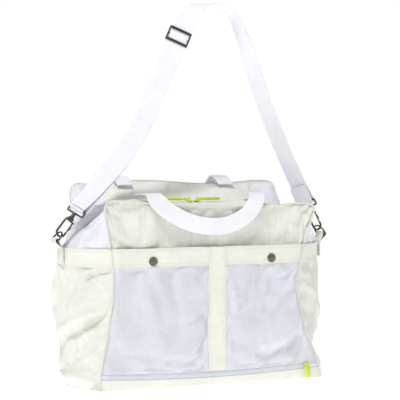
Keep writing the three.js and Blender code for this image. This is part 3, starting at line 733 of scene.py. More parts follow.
def finishPocketPanel(panel, share):
    refine(panel)

    def folds(co):
        fromSeam = seamX("front", -1 if co.x < 0 else 1, co.z) - abs(co.x)
        sewn = min(bandLow - co.z, co.z - 36 * mm, fromSeam, abs(co.x - 9 * mm) - 18 * mm)
        slack = wander(co.x + 0.6 * co.z, co.z - 0.5 * co.x, 52 * mm, 2.6 * mm, 2.0)
        crinkle = wander(co.x * 1.5, co.z * 0.5, 20 * mm, 0.5 * mm, 5.0)
        return smooth(sewn / (14 * mm)) * (creaseLines(co.x, co.z, pocketFolds) + slack + crinkle)
    pressFolds(panel, folds)
    for vertex in panel.data.vertices:
        vertex.co.y = min(vertex.co.y, wallFrontY - 2.4 * mm)      # the wall is behind it
    parts = splitAcross(panel, share, ("pocket_panel_left", "pocket_panel_middle", "pocket_panel_right"))
    for part in parts:
        thicken(part, pocketCloth["wall"])
        dress(part, greyNylon)
    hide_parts("pocket_panel_lower", "pocket_panel_upper")
    mouthBlends(parts)


def makeHem():
    face = pocketFaceY - 0.7 * mm

    size = (2 * bag["seam"], bandHeight)
    share = cutColumn(size, 4 * mm)

    def lay(u, v):
        z = mix(bandLow, bandTop, v)
        point = facePoint(u, z, "front", face, tuck=5.0 * mm, cutShare=share)
        calm = smooth(abs(abs(point.x) - 0.125) / (40 * mm))     # flat round the snaps
        point.y += calm * wander(point.x, z * 0.6, 70 * mm, 1.6 * mm, 12.0)
        point.z += 0.8 * mm * noise.noise(Vector((point.x / 0.09, 0, 5.0)))
        return point
    hem = cutCloth("hem_band", lay, size, 4 * mm)
    refine(hem)
    parts = splitAcross(hem, share, ("hem_band_left", "hem_band_middle", "hem_band_right"))
    for part in parts:
        thicken(part, 2.0 * mm, offset=-0.4)
        dress(part, hemTwill)
    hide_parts("pocket_hem_band")
    mouthBlends(parts)


def makeCentreBand():
    low, high = centreBand
    width = high.x - low.x
    top = bandTop - 1.2 * mm

    def lay(u, v):
        overHem = smooth((mix(low.z, top, v) - bandLow + 3 * mm) / (4 * mm))
        footZ = low.z - zipSag(mix(low.x, high.x, u))
        z = mix(footZ, top, v)
        y = mix(pocketFaceY - 0.3 * mm, pocketFaceY - 1.9 * mm, overHem)
        sway = 4.2 * mm * noise.noise(Vector((z / 0.07, 3.0, 0)))
        ripple = (1 - overHem) * 1.7 * mm * noise.noise(Vector((u * 0.6, z / 0.016, 7.0)))
        return Vector((mix(low.x, high.x, u) + sway * (1 - overHem), y - max(ripple, -0.3 * mm), z))
    band = cutCloth("centre_band", lay, (width, top - low.z), 3 * mm)
    refine(band)
    thicken(band, 1.0 * mm, offset=1.0)
    upright = wovenCloth("cotton twill band, stitched along", "eeede4", "e2e1d6", 1.3 * mm, 0.16 * mm,
                         20 * mm, 0.5 * mm, rough=0.88, rows=edgeRows(width, (2.0 * mm, 5.0 * mm), "v"))
    dress(band, upright, ("centre_band_lower", "centre_band_upper"))
    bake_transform(band)


toothPitch = 1.9 * mm


def makeBaseZip():
    stripLow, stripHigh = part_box("front_base_strip")

    def sagging(low, high, y, footSag):
        def lay(u, v):
            point = facePoint(u, mix(low, high, v), "front", y)
            point.z -= zipSag(point.x) * mix(footSag, 1, v)
            return point
        return lay
    strip = cutCloth("base_strip", sagging(1.0 * mm, stripHigh.z + 1 * mm, pocketFaceY + 0.2 * mm, 0),
                     (2 * bag["seam"], stripHigh.z), 5 * mm)
    refine(strip)
    thicken(strip, 1.4 * mm)
    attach(dress(strip, plainTwill, ("front_base_strip",)), "bag")
    tapeLow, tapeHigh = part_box("base_zip_tape")
    tape = cutCloth("base_zip_cloth", sagging(tapeLow.z, tapeHigh.z, pocketFaceY + 0.5 * mm, 1),
                    (2 * bag["seam"], tapeHigh.z - tapeLow.z), 4 * mm)
    refine(tape)
    thicken(tape, 0.7 * mm)
    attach(dress(tape, zipCloth, ("base_zip_tape",)), "bag")
    chainLow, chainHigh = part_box("base_zip_chain")
    middle = (chainLow + chainHigh) / 2
    count = round((chainHigh.x - chainLow.x) / toothPitch)
    stations = []
    for i in range(count):
        x = chainLow.x + (i + 0.5) * toothPitch
        place = Matrix.Translation((x, pocketFaceY - 0.5 * mm, middle.z - zipSag(x)))
        stations.append(place @ Matrix.Rotation(math.pi / 2, 4, "X")
                        @ Matrix.Rotation(math.pi * (i % 2), 4, "Z"))
    chain = rowOfTeeth("base_zip_coil", stations)
    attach(dress(chain, coilNylon, ("base_zip_chain",)), "bag")


# One turn of a zip's coil: a small loop that reaches past the middle and back, with a swollen nose.
def coilTooth():
    deselect()
    bpy.ops.mesh.primitive_cube_add(size=1)
    tooth = bpy.context.object
    tooth.dimensions = (1.1 * mm, 3.0 * mm, 1.2 * mm)
    tooth.location = (0, -1.2 * mm, 0)
    bpy.ops.object.transform_apply(location=True, rotation=False, scale=True)
    bpy.ops.object.mode_set(mode="EDIT")
    bpy.ops.mesh.select_all(action="SELECT")
    bpy.ops.mesh.bevel(offset=0.32 * mm, segments=1, affect="EDGES")
    bpy.ops.object.mode_set(mode="OBJECT")
    return tooth


def rowOfTeeth(name, stations):
    tooth = coilTooth()
    points = [v.co.copy() for v in tooth.data.vertices]
    faces = [list(f.vertices) for f in tooth.data.polygons]
    allPoints, allFaces = [], []
    for station in stations:
        first = len(allPoints)
        allPoints += [station @ p for p in points]
        allFaces += [[first + k for k in face] for face in faces]
    mesh = bpy.data.meshes.new(name)
    mesh.from_pydata(allPoints, [], allFaces)
    row = bpy.data.objects.new(name, mesh)
    scene.collection.objects.link(row)
    bpy.data.objects.remove(tooth)
    return smoothShade(row, 40)


sleeveCloth = {"growth": 0.02, "push": 0.4, "reach": 5 * mm}


def makeSleeve():
    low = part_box("rear_sleeve_panel")[0].z
    high = bandLow + 3 * mm
    size = (2 * bag["seam"], high - low)

    def lay(u, v):
        return facePoint(1 - u, mix(low, high, v), "rear", sleeveFaceY - 0.4 * mm, 3 * mm)
    panel = cutCloth("sleeve_panel", lay, size)
    edge = onEdge(*gridSize(size))
    fillCloth(panel, lambda i, co: i in edge, sleeveCloth["growth"], sleeveCloth["push"],
              sleeveCloth["reach"], ripple=2.0 * mm, rippleSize=70 * mm, seed=6.0)
    return panel


def finishSleeve(panel):
    refine(panel)
    thicken(panel, 1.1 * mm)
    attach(dress(panel, greyNylon, ("rear_sleeve_panel",)), "bag")

    def lay(u, v):
        point = facePoint(1 - u, mix(bandLow, bandTop, v), "rear", sleeveFaceY + 0.6 * mm, 3.6 * mm)
        point.y += wander(point.x, point.z * 0.6, 80 * mm, 1.0 * mm, 15.0)
        return point
    band = cutCloth("sleeve_band", lay, (2 * bag["seam"], bandHeight), 4 * mm)
    refine(band)
    thicken(band, 1.6 * mm, offset=-0.4)
    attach(dress(band, hemTwill, ("rear_sleeve_band",)), "bag")


# ---- zipped top ----

topCloth = {
    "growth": 0.035, "push": 0.5, "reach": 7 * mm, "wall": 1.1 * mm, "crown": 5 * mm, "ease": 1.6,
    "footBulge": 16 * mm,     # it bulges up to the feet of the handles
    "footReach": 44 * mm,     # and so far to each side of them
    "bulgeEnd": 0.78,         # the share of the way to the zip where the bulge ends
}


def topSag(x):                # the long top edge hangs a little between its corners
    return bag["topSag"] * max(0.0, 1 - (x / (190 * mm)) ** 2) ** 1.2


def topLean(face, x):         # and at the front it drops towards the right
    return 10 * mm * smooth((x + 40 * mm) / (250 * mm)) if face == "front" else 0.0


def panelTop(face, x):
    top = frontTop if face == "front" else rearTop
    half, corner = bag["seam"], bag["corner"]
    over = max(0.0, abs(x) - (half - corner))
    drop = corner - math.sqrt(max(0.0, corner ** 2 - min(over, corner) ** 2))
    if face == "front":
        sag = topSag(x)
    else:
        sag = 4 * mm * math.sin(x / (48 * mm)) * smooth((half - abs(x)) / (60 * mm))
    return top - drop - sag - topLean(face, x)


def makeUpperPanel(face, y, seed):
    low = bandTop - 8 * mm
    height = (frontTop if face == "front" else rearTop) - low
    size = (2 * bag["seam"], height)

    def lay(u, v):
        s = 2 * (u if face == "front" else 1 - u) - 1
        s = 1.25 * s - 0.25 * s ** 3
        top = panelTop(face, s * bag["seam"])
        z = mix(low, top, v)
        side = -1 if s < 0 else 1
        half = seamX(face, side, z)
        outwards = -1 if face == "front" else 1
        tuck = 2.5 * mm * (1 - smooth((1 - abs(s)) / 0.045)) + 2.0 * mm * smooth((v - 0.93) / 0.07)
        return Vector((s * half, y - outwards * tuck, z))
    panel = cutCloth(face + "_panel_cloth", lay, size)
    edge = onEdge(*gridSize(size))
    fillCloth(panel, lambda i, co: i in edge, topCloth["growth"] + 0.01, topCloth["push"], topCloth["reach"],
              ripple=2.0 * mm, rippleSize=26 * mm, seed=seed)
    return panel


def cornerFolds(co):          # sharp folds that run down and inwards from the two top corners
    out = 0.0
    for side in (-1, 1):
        dx, dz = side * bag["seam"] - co.x, frontTop - co.z
        reach = math.hypot(dx, dz)
        angle = math.atan2(dz, abs(dx))
        fade = smooth(reach / (15 * mm)) * (1 - smooth((reach - 30 * mm) / (80 * mm)))
        out += fade * 4.2 * mm * math.exp(-((angle - 0.50) / 0.11) ** 2)
        out -= fade * 3.4 * mm * math.exp(-((angle - 0.78) / 0.12) ** 2)
        out += fade * 3.0 * mm * math.exp(-((angle - 1.12) / 0.10) ** 2)
    return out


def finishUpperPanel(panel, face):
    refine(panel)

    def folds(co):
        upright = 1.5 * mm * noise.noise(Vector((co.x / (7 * mm), co.z / (46 * mm), 8.0)))
        calm = smooth((bag["seam"] - abs(co.x)) / (14 * mm)) * smooth((co.z - bandTop) / (6 * mm))
        return calm * (upright + (cornerFolds(co) if face == "front" else 0.0))
    pressFolds(panel, folds)
    thicken(panel, topCloth["wall"])
    hangOnMouth(dress(panel, crinkledNylon if face == "front" else shellNylon,
                      (face + "_panel_upper",)), face)


# Runs smoothly through points, spaced by how far apart they lie.
def throughPoints(points):
    knots = [0.0]
    for a, b in zip(points, points[1:]):
        knots.append(knots[-1] + (b - a).length)

    def slope(i):
        low, high = max(i - 1, 0), min(i + 1, len(points) - 1)
        return (points[high] - points[low]) / (knots[high] - knots[low])

    def at(t):
        where = min(max(t, 0.0), 1.0) * knots[-1]
        i = max(k for k in range(len(knots) - 1) if knots[k] <= where + 1e-12)
        span = knots[i + 1] - knots[i]
        s = (where - knots[i]) / span
        a, b, da, db = points[i], points[i + 1], slope(i) * span, slope(i + 1) * span
        return (a * (2 * s ** 3 - 3 * s ** 2 + 1) + da * (s ** 3 - 2 * s ** 2 + s)
                + b * (3 * s ** 2 - 2 * s ** 3) + db * (s ** 3 - s ** 2))
    return at


# Stations from one side up and over to the other: where the seam runs and where the zip runs.
def topCurves(face):
    top = frontTop if face == "front" else rearTop
    half, corner = bag["seam"], bag["corner"]
    start = bandTop - 7 * mm
    seam = [(half, start), (half, bandTop + 30 * mm), (half, top - corner), (half - 6 * mm, top - 6 * mm),
            (half - corner, top), (120 * mm, top), (60 * mm, top), (0, top)]
    closure = [(swell - 1 * mm, start), (252 * mm, 288 * mm), (218 * mm, 314 * mm), (202 * mm, 325 * mm),
               (186 * mm, 334 * mm), (140 * mm, 348 * mm), (80 * mm, 350 * mm), (0, 350 * mm)]

    def across(points, isSeam):
        both = []
        for side in (-1, 1):
            placed = []
            for x, z in points:
                if isSeam and x > half - corner:
                    x = seamX(face, side, z) - (half - x)
                if isSeam and z > top - 1 * mm:
                    z = panelTop(face, side * x)
                elif isSeam and z > top - corner - 1 * mm:
                    z -= topLean(face, side * x)
                placed.append(Vector((side * x, 0, z)))
            both.append(placed)
        return both[0] + both[1][-2::-1]
    pairs = zip(across(seam, True), across(closure, False))
    return throughPoints([Vector((a.x, a.z, b.x, b.z)) for a, b in pairs])


handleFeet = (-125, 95)       # in millimetres from the middle


def topPoint(curves, face, t, share):        # share runs from the seam to the zip
    sx, sz, zx, zz = curves(t)
    seamY = wallFrontY + 1.5 * mm if face == "front" else wallRearY - 1.5 * mm
    eased = 1 - (1 - share) ** topCloth["ease"]
    x, z = mix(sx, zx, eased), mix(sz, zz, eased)
    outwards = Vector((x, 0, z - 0.2)).normalized()
    lift = topCloth["crown"] * math.sin(math.pi * share) ** 1.5
    near = sum(math.exp(-((x - foot * mm) / topCloth["footReach"]) ** 2) for foot in handleFeet)
    lift += topCloth["footBulge"] * near * math.sin(math.pi * min(share / topCloth["bulgeEnd"], 1)) ** 0.7
    return Vector((x, seamY * (1 - share), z)) + outwards * lift


def makeTopStrip(face, seed):
    curves = topCurves(face)
    size = (950 * mm, abs(wallFrontY) - 9 * mm + 6 * mm)
    zipShare = 1 - 9.2 * mm / abs(wallFrontY)

    def lay(u, v):
        return topPoint(curves, face, u, zipShare * (v if face == "front" else 1 - v))
    strip = cutCloth("top_strip_cloth_" + face, lay, size)
    edge = onEdge(*gridSize(size))
    fillCloth(strip, lambda i, co: i in edge, topCloth["growth"] + 0.01, topCloth["push"] * 0.7,
              topCloth["reach"], ripple=2.4 * mm, rippleSize=36 * mm, seed=seed)
    return strip, curves


def finishTopStrip(strip, curves, face):
    refine(strip)
    pressFolds(strip, lambda co: wander(co.x * 0.6, co.y + co.z, 17 * mm, 0.9 * mm, 21.0)
               * smooth((abs(co.y) - 12 * mm) / (8 * mm)))
    thicken(strip, topCloth["wall"])
    hangOnMouth(dress(strip, lilacNylon, ("top_strip_" + face,)), face)

    def lay(u, v):
        towards = mix(10.4 * mm, 0.4 * mm, v if face == "front" else 1 - v)
        return topPoint(curves, face, u, 1 - towards / abs(wallFrontY)) - Vector((0, 0, 0.6 * mm))
    tape = cutCloth("zip_cloth_" + face, lay, (900 * mm, 10 * mm), 3.4 * mm)
    thicken(tape, 0.8 * mm)
    hangOnMouth(dress(tape, zipCloth, ("zip_tape_" + face,)), face)
    rim = [topPoint(curves, face, i / 200, 1) for i in range(201)]
    length = sum((b - a).length for a, b in zip(rim, rim[1:]))
    count = int(length / toothPitch) - 2
    side = -1 if face == "front" else 1
    stations = []
    for i in range(count):
        t = (i + 1 + 0.25 * side) / (count + 1)
        here, ahead = topPoint(curves, face, t, 1), topPoint(curves, face, t + 0.001, 1)
        along = (ahead - here).normalized()
        across = Vector((0, -side, 0))
        up = along.cross(across)
        if up.dot(Vector((here.x, 0, here.z - 0.2))) < 0:
            up = -up
        turn = Matrix((along, across, up)).transposed().to_4x4()
        stations.append(Matrix.Translation(here + Vector((0, side * 0.5 * mm, 0)) + up * 0.9 * mm) @ turn)
    coil = rowOfTeeth("zip_coil_row_" + face, stations)
    hangOnMouth(dress(coil, coilNylon, ("zip_coil_" + face,)), face)


# ---- piping ----

piping = {"front": 1.8 * mm, "rear": 1.3 * mm}


def roundCord(name, points, radius, closed=False, sides=3):
    curve = bpy.data.curves.new(name, "CURVE")
    curve.dimensions = "3D"
    line = curve.splines.new("POLY")
    line.points.add(len(points) - 1)
    for point, co in zip(line.points, points):
        point.co = (*co, 1)
    line.use_cyclic_u = closed
    curve.bevel_depth = radius
    curve.bevel_resolution = sides
    curve.use_fill_caps = not closed
    cord = bpy.data.objects.new(name, curve)
    scene.collection.objects.link(cord)
    pick(cord)
    bpy.ops.object.convert(target="MESH")
    cord = bpy.context.object
    bpy.ops.object.mode_set(mode="EDIT")
    bpy.ops.mesh.select_all(action="SELECT")
    bpy.ops.mesh.remove_doubles(threshold=0.01 * mm)
    bpy.ops.mesh.normals_make_consistent(inside=False)
    bpy.ops.object.mode_set(mode="OBJECT")
    cord.name = name
    return smoothShade(cord, 60)


def makePiping():
    for face, y in (("front", wallFrontY - 1.6 * mm), ("rear", wallRearY + 1.6 * mm)):
        points = []
        for i in range(121):
            s = 2 * i / 120 - 1
            s = 1.25 * s - 0.25 * s ** 3
            z = panelTop(face, s * bag["seam"])
            x = s * (seamX(face, -1 if s < 0 else 1, z) + 0.5 * mm)
            points.append(Vector((x, y, z + 1.2 * mm)))
        for side in (-1, 1):
            low, high = bandTop + 0.5 * mm, points[0].z
            legs = [Vector((side * (seamX(face, side, z) + 0.5 * mm), y, z)) for z in
                    [mix(low, high, k / 24) for k in range(24)]]
            points = legs + points if side < 0 else points + legs[::-1]
        cord = roundCord(face + "_piping_arch", points, piping[face])
        hangOnMouth(dress(cord, pipingTwill, (face + "_piping_upper",)), face)
    for name, side in (("left", -1), ("right", 1)):
        low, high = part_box("front_piping_" + name)[0].z, bandTop - 0.5 * mm
        points = []
        for k in range(61):
            z = mix(low, high, k / 60)
            x = side * (seamX("front", side, z) + 0.6 * mm)
            points.append(Vector((x, bag["frontSeamY"] - 1.2 * mm, z)))
        cord = roundCord("front_piping_cord_" + name, points, piping["front"])
        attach(dress(cord, pipingTwill, ("front_piping_" + name,)), "bag")


# ---- webbing: handles and shoulder strap ----

# Webbing through stations of a point, the direction of its width and the way it faces.
def layWebbing(name, stations, width, thickness, cup=0.5 * mm):
    length = sum((b[0] - a[0]).length for a, b in zip(stations, stations[1:]))
    count = len(stations) - 1
    deselect()
    bpy.ops.mesh.primitive_grid_add(x_subdivisions=count, y_subdivisions=8, size=1)
    strap = bpy.context.object
    strap.name = name
    for vertex in strap.data.vertices:
        point, across, facing = stations[round((vertex.co.x + 0.5) * count)]
        v = vertex.co.y * 2
        vertex.co = point + across * (v * width / 2) + facing * cup * (1 - v * v)
    for corner in strap.data.uv_layers.active.data:
        corner.uv = (corner.uv[0] * length, corner.uv[1] * width)
    strap.data.uv_layers.active.name = "UVMap"
    thicken(strap, thickness, offset=0.0)
    pick(strap)
    soften = strap.modifiers.new("Selvedge", "BEVEL")
    soften.width = thickness * 0.3
    soften.segments = 2
    soften.limit_method = "ANGLE"
    bpy.ops.object.modifier_apply(modifier="Selvedge")
    bpy.ops.object.mode_set(mode="EDIT")
    bpy.ops.mesh.select_all(action="SELECT")
    bpy.ops.mesh.normals_make_consistent(inside=False)
    bpy.ops.object.mode_set(mode="OBJECT")
    return smoothShade(strap)


handleShape = {
    "width": 33 * mm, "thickness": 2.2 * mm, "steps": 96,
    "line": [(-125, 0, 2), (-123, 9, 1), (-116, 15, -12), (-92, 15, -32), (-52, 15, -52), (-12, 15, -61),
             (22, 15, -61), (54, 15, -51), (78, 15, -34), (92, 15, -12), (95, 9, 1), (95, 0, 2)],
    "feet": {"front": [(0, 0), (9, 0), (24, 1), (40, 2)], "rear": [(0, 0), (9, 0), (24, 6), (40, 16)]},
}


def makeHandles():
    sewnAt = {"front": Vector((0, wallFrontY + 6 * mm, 369 * mm)), "rear": Vector((0, wallRearY, 399 * mm))}
    width, thickness = handleShape["width"], handleShape["thickness"]
    for face, out in (("front", -1), ("rear", 1)):
        curve = throughPoints([Vector((x, out * y, z)) * mm + sewnAt[face]
                               for x, y, z in handleShape["line"]])
        steps = handleShape["steps"]
        stations = []
        for i in range(steps + 1):
            t = i / steps
            along = (curve(min(t + 0.004, 1)) - curve(max(t - 0.004, 0))).normalized()
            lying = abs(along.y)
            facing = (Vector((0, out, 0)) * (1 - lying) + Vector((0, 0, lying))).normalized()
            across = facing.cross(along).normalized()
            facing = along.cross(across).normalized()
            sway = facing * (0.9 * mm * noise.noise(Vector((t * 7, 0, 3.0 + out))))
            stations.append((curve(t) + sway, across, facing))
        handle = layWebbing(face + "_handle_webbing", stations, width, thickness)
        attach(dress(handle, handleWebbing, (face + "_handle",)), face + "_handle")
        for foot, at in zip(("left", "right"), handleFeet):
            start = sewnAt[face] + Vector((at, 0, 1.6)) * mm
            lie = throughPoints([start + Vector((0, -back * out, -drop)) * mm
                                 for back, drop in handleShape["feet"][face]])
            stations = []
            for i in range(17):
                along = (lie(min(i / 16 + 0.01, 1)) - lie(max(i / 16 - 0.01, 0))).normalized()
                across = Vector((1, 0, 0))
                stations.append((lie(i / 16), across, along.cross(across) * out))
            sewn = layWebbing(face + "_handle_foot_" + foot, stations, width, thickness)
            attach(dress(sewn, handleWebbing), "mouth_" + face)


# The strap's middle line in millimetres, from the left eye over the top to the right eye.
strapShape = {
    "thickness": 2.0 * mm, "gap": 0.3 * mm, "turn": 5.0 * mm, "sewnBack": 35 * mm, "spread": 22 * mm,
    "start": Vector((-106, 0, 510)), "run": Vector((0.407, 0, 0.913)).normalized(),
    "ring": {-1: Vector((0.62, 0, 0.785)).normalized(), 1: Vector((-0.48, 0, 0.877)).normalized()},
    "left": [(-195, 0, 391), (-147, 0, 447)],
    "onStraight": [0, 50, 100, 150, 200],
    "right": [(2, 0, 729), (43, 0, 743), (80, 0, 727), (108, 0, 677), (135, 0, 602), (165, 0, 525),
              (198, 0, 453), (229, 0, 391)],
    "twists": [(0, 32), (0.12, 66), (0.22, 78), (0.45, 78), (0.51, 8), (0.56, -8), (0.7, -24), (1, -34)],
    "adjuster": 184, "steps": 220,
}
ringEnds = {}
for endName, endSide in (("left", -1), ("right", 1)):
    bar = Vector((endSide * 288, 0, 282)) * mm
    pull = strapShape["ring"][endSide]
    ringEnds[endName] = {"side": endSide, "pull": pull, "bar": bar, "bow": bar + pull * 19.25 * mm,
                         "eye": bar + pull * (19.25 + 57.25) * mm, "inPlane": pull.cross(Vector((0, 1, 0)))}


def strapCurve():
    points = [ringEnds["left"]["eye"]] + [Vector(p) * mm for p in strapShape["left"]]
    points += [(strapShape["start"] + strapShape["run"] * d) * mm for d in strapShape["onStraight"]]
    points += [Vector(p) * mm for p in strapShape["right"]] + [ringEnds["right"]["eye"]]
    return centripetal(points)


# A centripetal curve through points, read at even shares of its length.
def centripetal(points, fine=40):
    ends = [points[0] * 2 - points[1], *points, points[-1] * 2 - points[-2]]
    dense = []
    for p0, p1, p2, p3 in zip(ends, ends[1:], ends[2:], ends[3:]):
        d0, d1, d2 = ((b - a).length ** 0.5 for a, b in ((p0, p1), (p1, p2), (p2, p3)))
        slope1 = ((p1 - p0) / d0 - (p2 - p0) / (d0 + d1) + (p2 - p1) / d1) * d1
        slope2 = ((p2 - p1) / d1 - (p3 - p1) / (d1 + d2) + (p3 - p2) / d2) * d1
        for k in range(fine):
            s = k / fine
            dense.append(p1 * (2 * s ** 3 - 3 * s ** 2 + 1) + slope1 * (s ** 3 - 2 * s ** 2 + s)
                         + p2 * (3 * s ** 2 - 2 * s ** 3) + slope2 * (s ** 3 - s ** 2))
    dense.append(points[-1])
    lengths = [0.0]
    for a, b in zip(dense, dense[1:]):
        lengths.append(lengths[-1] + (b - a).length)

    def at(share):
        where = min(max(share, 0.0), 1.0) * lengths[-1]
        low, high = 0, len(lengths) - 1
        while high - low > 1:
            half = (low + high) // 2
            low, high = (half, high) if lengths[half] <= where else (low, half)
        t = (where - lengths[low]) / (lengths[high] - lengths[low])
        return dense[low].lerp(dense[high], t)
    return at, lengths[-1], (dense[1] - dense[0]).normalized(), (dense[-1] - dense[-2]).normalized()


def strapTools():
    at, length, firstWay, lastWay = strapCurve()

    def twist(share):
        stops = strapShape["twists"]
        i = next(k for k in range(1, len(stops)) if stops[k][0] >= share - 1e-9)
        (a, angle), (b, after) = stops[i - 1], stops[i]
        return math.radians(mix(angle, after, (share - a) / (b - a)))

    def station(share, layer):
        if share < 0.002:
            along = firstWay
        elif share > 0.998:
            along = lastWay
        else:
            along = (at(share + 0.002) - at(share - 0.002)).normalized()
        up = Vector((0, 1, 0))
        across = (up * math.cos(twist(share)) + along.cross(up) * math.sin(twist(share))).normalized()
        facing = along.cross(across)
        fromEye = length * min(share, 1 - share)
        closed = strapShape["thickness"] + 2 * strapShape["gap"]
        spread = closed + (strapShape["turn"] - closed) * math.exp(-((fromEye / strapShape["spread"]) ** 2))
        return at(share) + facing * (layer * spread), across, facing * layer, along
    return at, length, station


def strapTurn(at, station, share, fromLayer):
    _, across, facing, along = station(share, 1)
    outwards = along if share > 0.5 else -along
    made = []
    for k in range(1, 16):
        angle = math.pi * k / 16
        way = facing * (fromLayer * math.cos(angle)) + outwards * math.sin(angle)
        made.append((at(share) + way * strapShape["turn"], across, way))
    return made


def makeStrap():
    at, length, station = strapTools()
    steps = strapShape["steps"]
    first = 4 * strapShape["gap"] / length
    back = 1 - strapShape["sewnBack"] / length
    main = [station(mix(first, 1, k / steps), 1)[:3] for k in range(steps + 1)]
    main += strapTurn(at, station, 1, 1)
    main += [station(mix(1, back, k / 12), -1)[:3] for k in range(13)]
    strap = layWebbing("shoulder_strap_webbing", main, webbingWidth, strapShape["thickness"], cup=0.0)
    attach(dress(strap, webbing, ("shoulder_strap",)), "strap")
    middle = (strapShape["start"] + strapShape["run"] * strapShape["adjuster"]) * mm
    share = min((k / 4000 for k in range(4001)), key=lambda s: (at(s) - middle).length)
    returning = [station(mix(share - 2.5 * mm / length, 0, k / 110), -1)[:3] for k in range(111)]
    returning += strapTurn(at, station, 0, -1)
    returning += [station(0, 1)[:3]]
    layer = layWebbing("strap_return_webbing", returning, webbingWidth, strapShape["thickness"], cup=0.0)
    dress(layer, webbing, ("strap_return",))
    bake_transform(layer)
    return station(share, 0), station(0, 1), station(1, 1)


# ---- metal ----

# A turned piece grown from a disc along +Z through pairs of height and radius in millimetres, then laid
# by a matrix.
def turnPiece(name, profile, place, sides=32):
    deselect()
    profile = [(h * mm, r * mm) for h, r in profile]
    height, radius = profile[0]
    bpy.ops.mesh.primitive_circle_add(vertices=sides, radius=radius, fill_type="NGON",
                                      location=(0, 0, height))
    piece = bpy.context.object
    bpy.ops.object.transform_apply(location=True, rotation=False, scale=False)
    bpy.ops.object.mode_set(mode="EDIT")
    bpy.ops.mesh.select_all(action="SELECT")
    for (z, r), (nextZ, nextR) in zip(profile, profile[1:]):
        bpy.ops.mesh.extrude_region_move(TRANSFORM_OT_translate={"value": (0, 0, nextZ - z)})
        bpy.ops.transform.resize(value=(nextR / r, nextR / r, 1), center_override=(0, 0, nextZ))
    bpy.ops.mesh.select_all(action="SELECT")
    bpy.ops.mesh.normals_make_consistent(inside=False)
    bpy.ops.object.mode_set(mode="OBJECT")
    piece.name = name
    piece.data.transform(place)
    return smoothShade(piece, 35)


# A block with rounded edges, from its size and middle in millimetres, tapered along Y when asked, laid by
# a matrix.
def roundedBlock(name, size, middle, place, edge, taper=1.0):
    deselect()
    size, middle = Vector(size) * mm, Vector(middle) * mm
    bpy.ops.mesh.primitive_cube_add(size=1)
    piece = bpy.context.object
    piece.dimensions = size
    piece.location = middle
    bpy.ops.object.transform_apply(location=True, rotation=False, scale=True)
    if taper != 1.0:
        for face in piece.data.polygons:
            face.select = face.normal.y > 0.9
        for vertex in piece.data.vertices:
            vertex.select = vertex.co.y > middle[1]
        bpy.ops.object.mode_set(mode="EDIT")
        bpy.ops.mesh.select_mode(type="VERT")
        bpy.ops.transform.resize(value=(taper, 1, 1), center_override=tuple(middle))
        bpy.ops.object.mode_set(mode="OBJECT")
    bpy.ops.object.mode_set(mode="EDIT")
    bpy.ops.mesh.select_all(action="SELECT")
    bpy.ops.mesh.bevel(offset=edge * mm, segments=3, affect="EDGES")
    bpy.ops.mesh.select_all(action="SELECT")
    bpy.ops.mesh.normals_make_consistent(inside=False)
    bpy.ops.object.mode_set(mode="OBJECT")
    piece.name = name
    piece.data.transform(place)
    return smoothShade(piece, 40)


def joined(name, *pieces):
    pick(*pieces)
    bpy.ops.object.join()
    piece = bpy.context.object
    piece.name = name
    return piece


def frameOf(origin, x, y, z):
    return Matrix.Translation(origin) @ Matrix((x, y, z)).transposed().to_4x4()


def arc(centre, radius, start, end, steps, height=1.0):
    turns = [math.radians(mix(start, end, k / steps)) for k in range(steps + 1)]
    return [(centre[0] + radius * math.cos(a), centre[1] + radius * height * math.sin(a)) for a in turns]


def laid(place, points):      # a flat line given in millimetres
    return [place @ Vector((x * mm, y * mm, 0)) for x, y in points]


hook = {"wire": 2.1 * mm, "bend": 8.5, "ringWire": 1.75 * mm, "gateWire": 1.6 * mm, "eyeWire": 1.75 * mm}


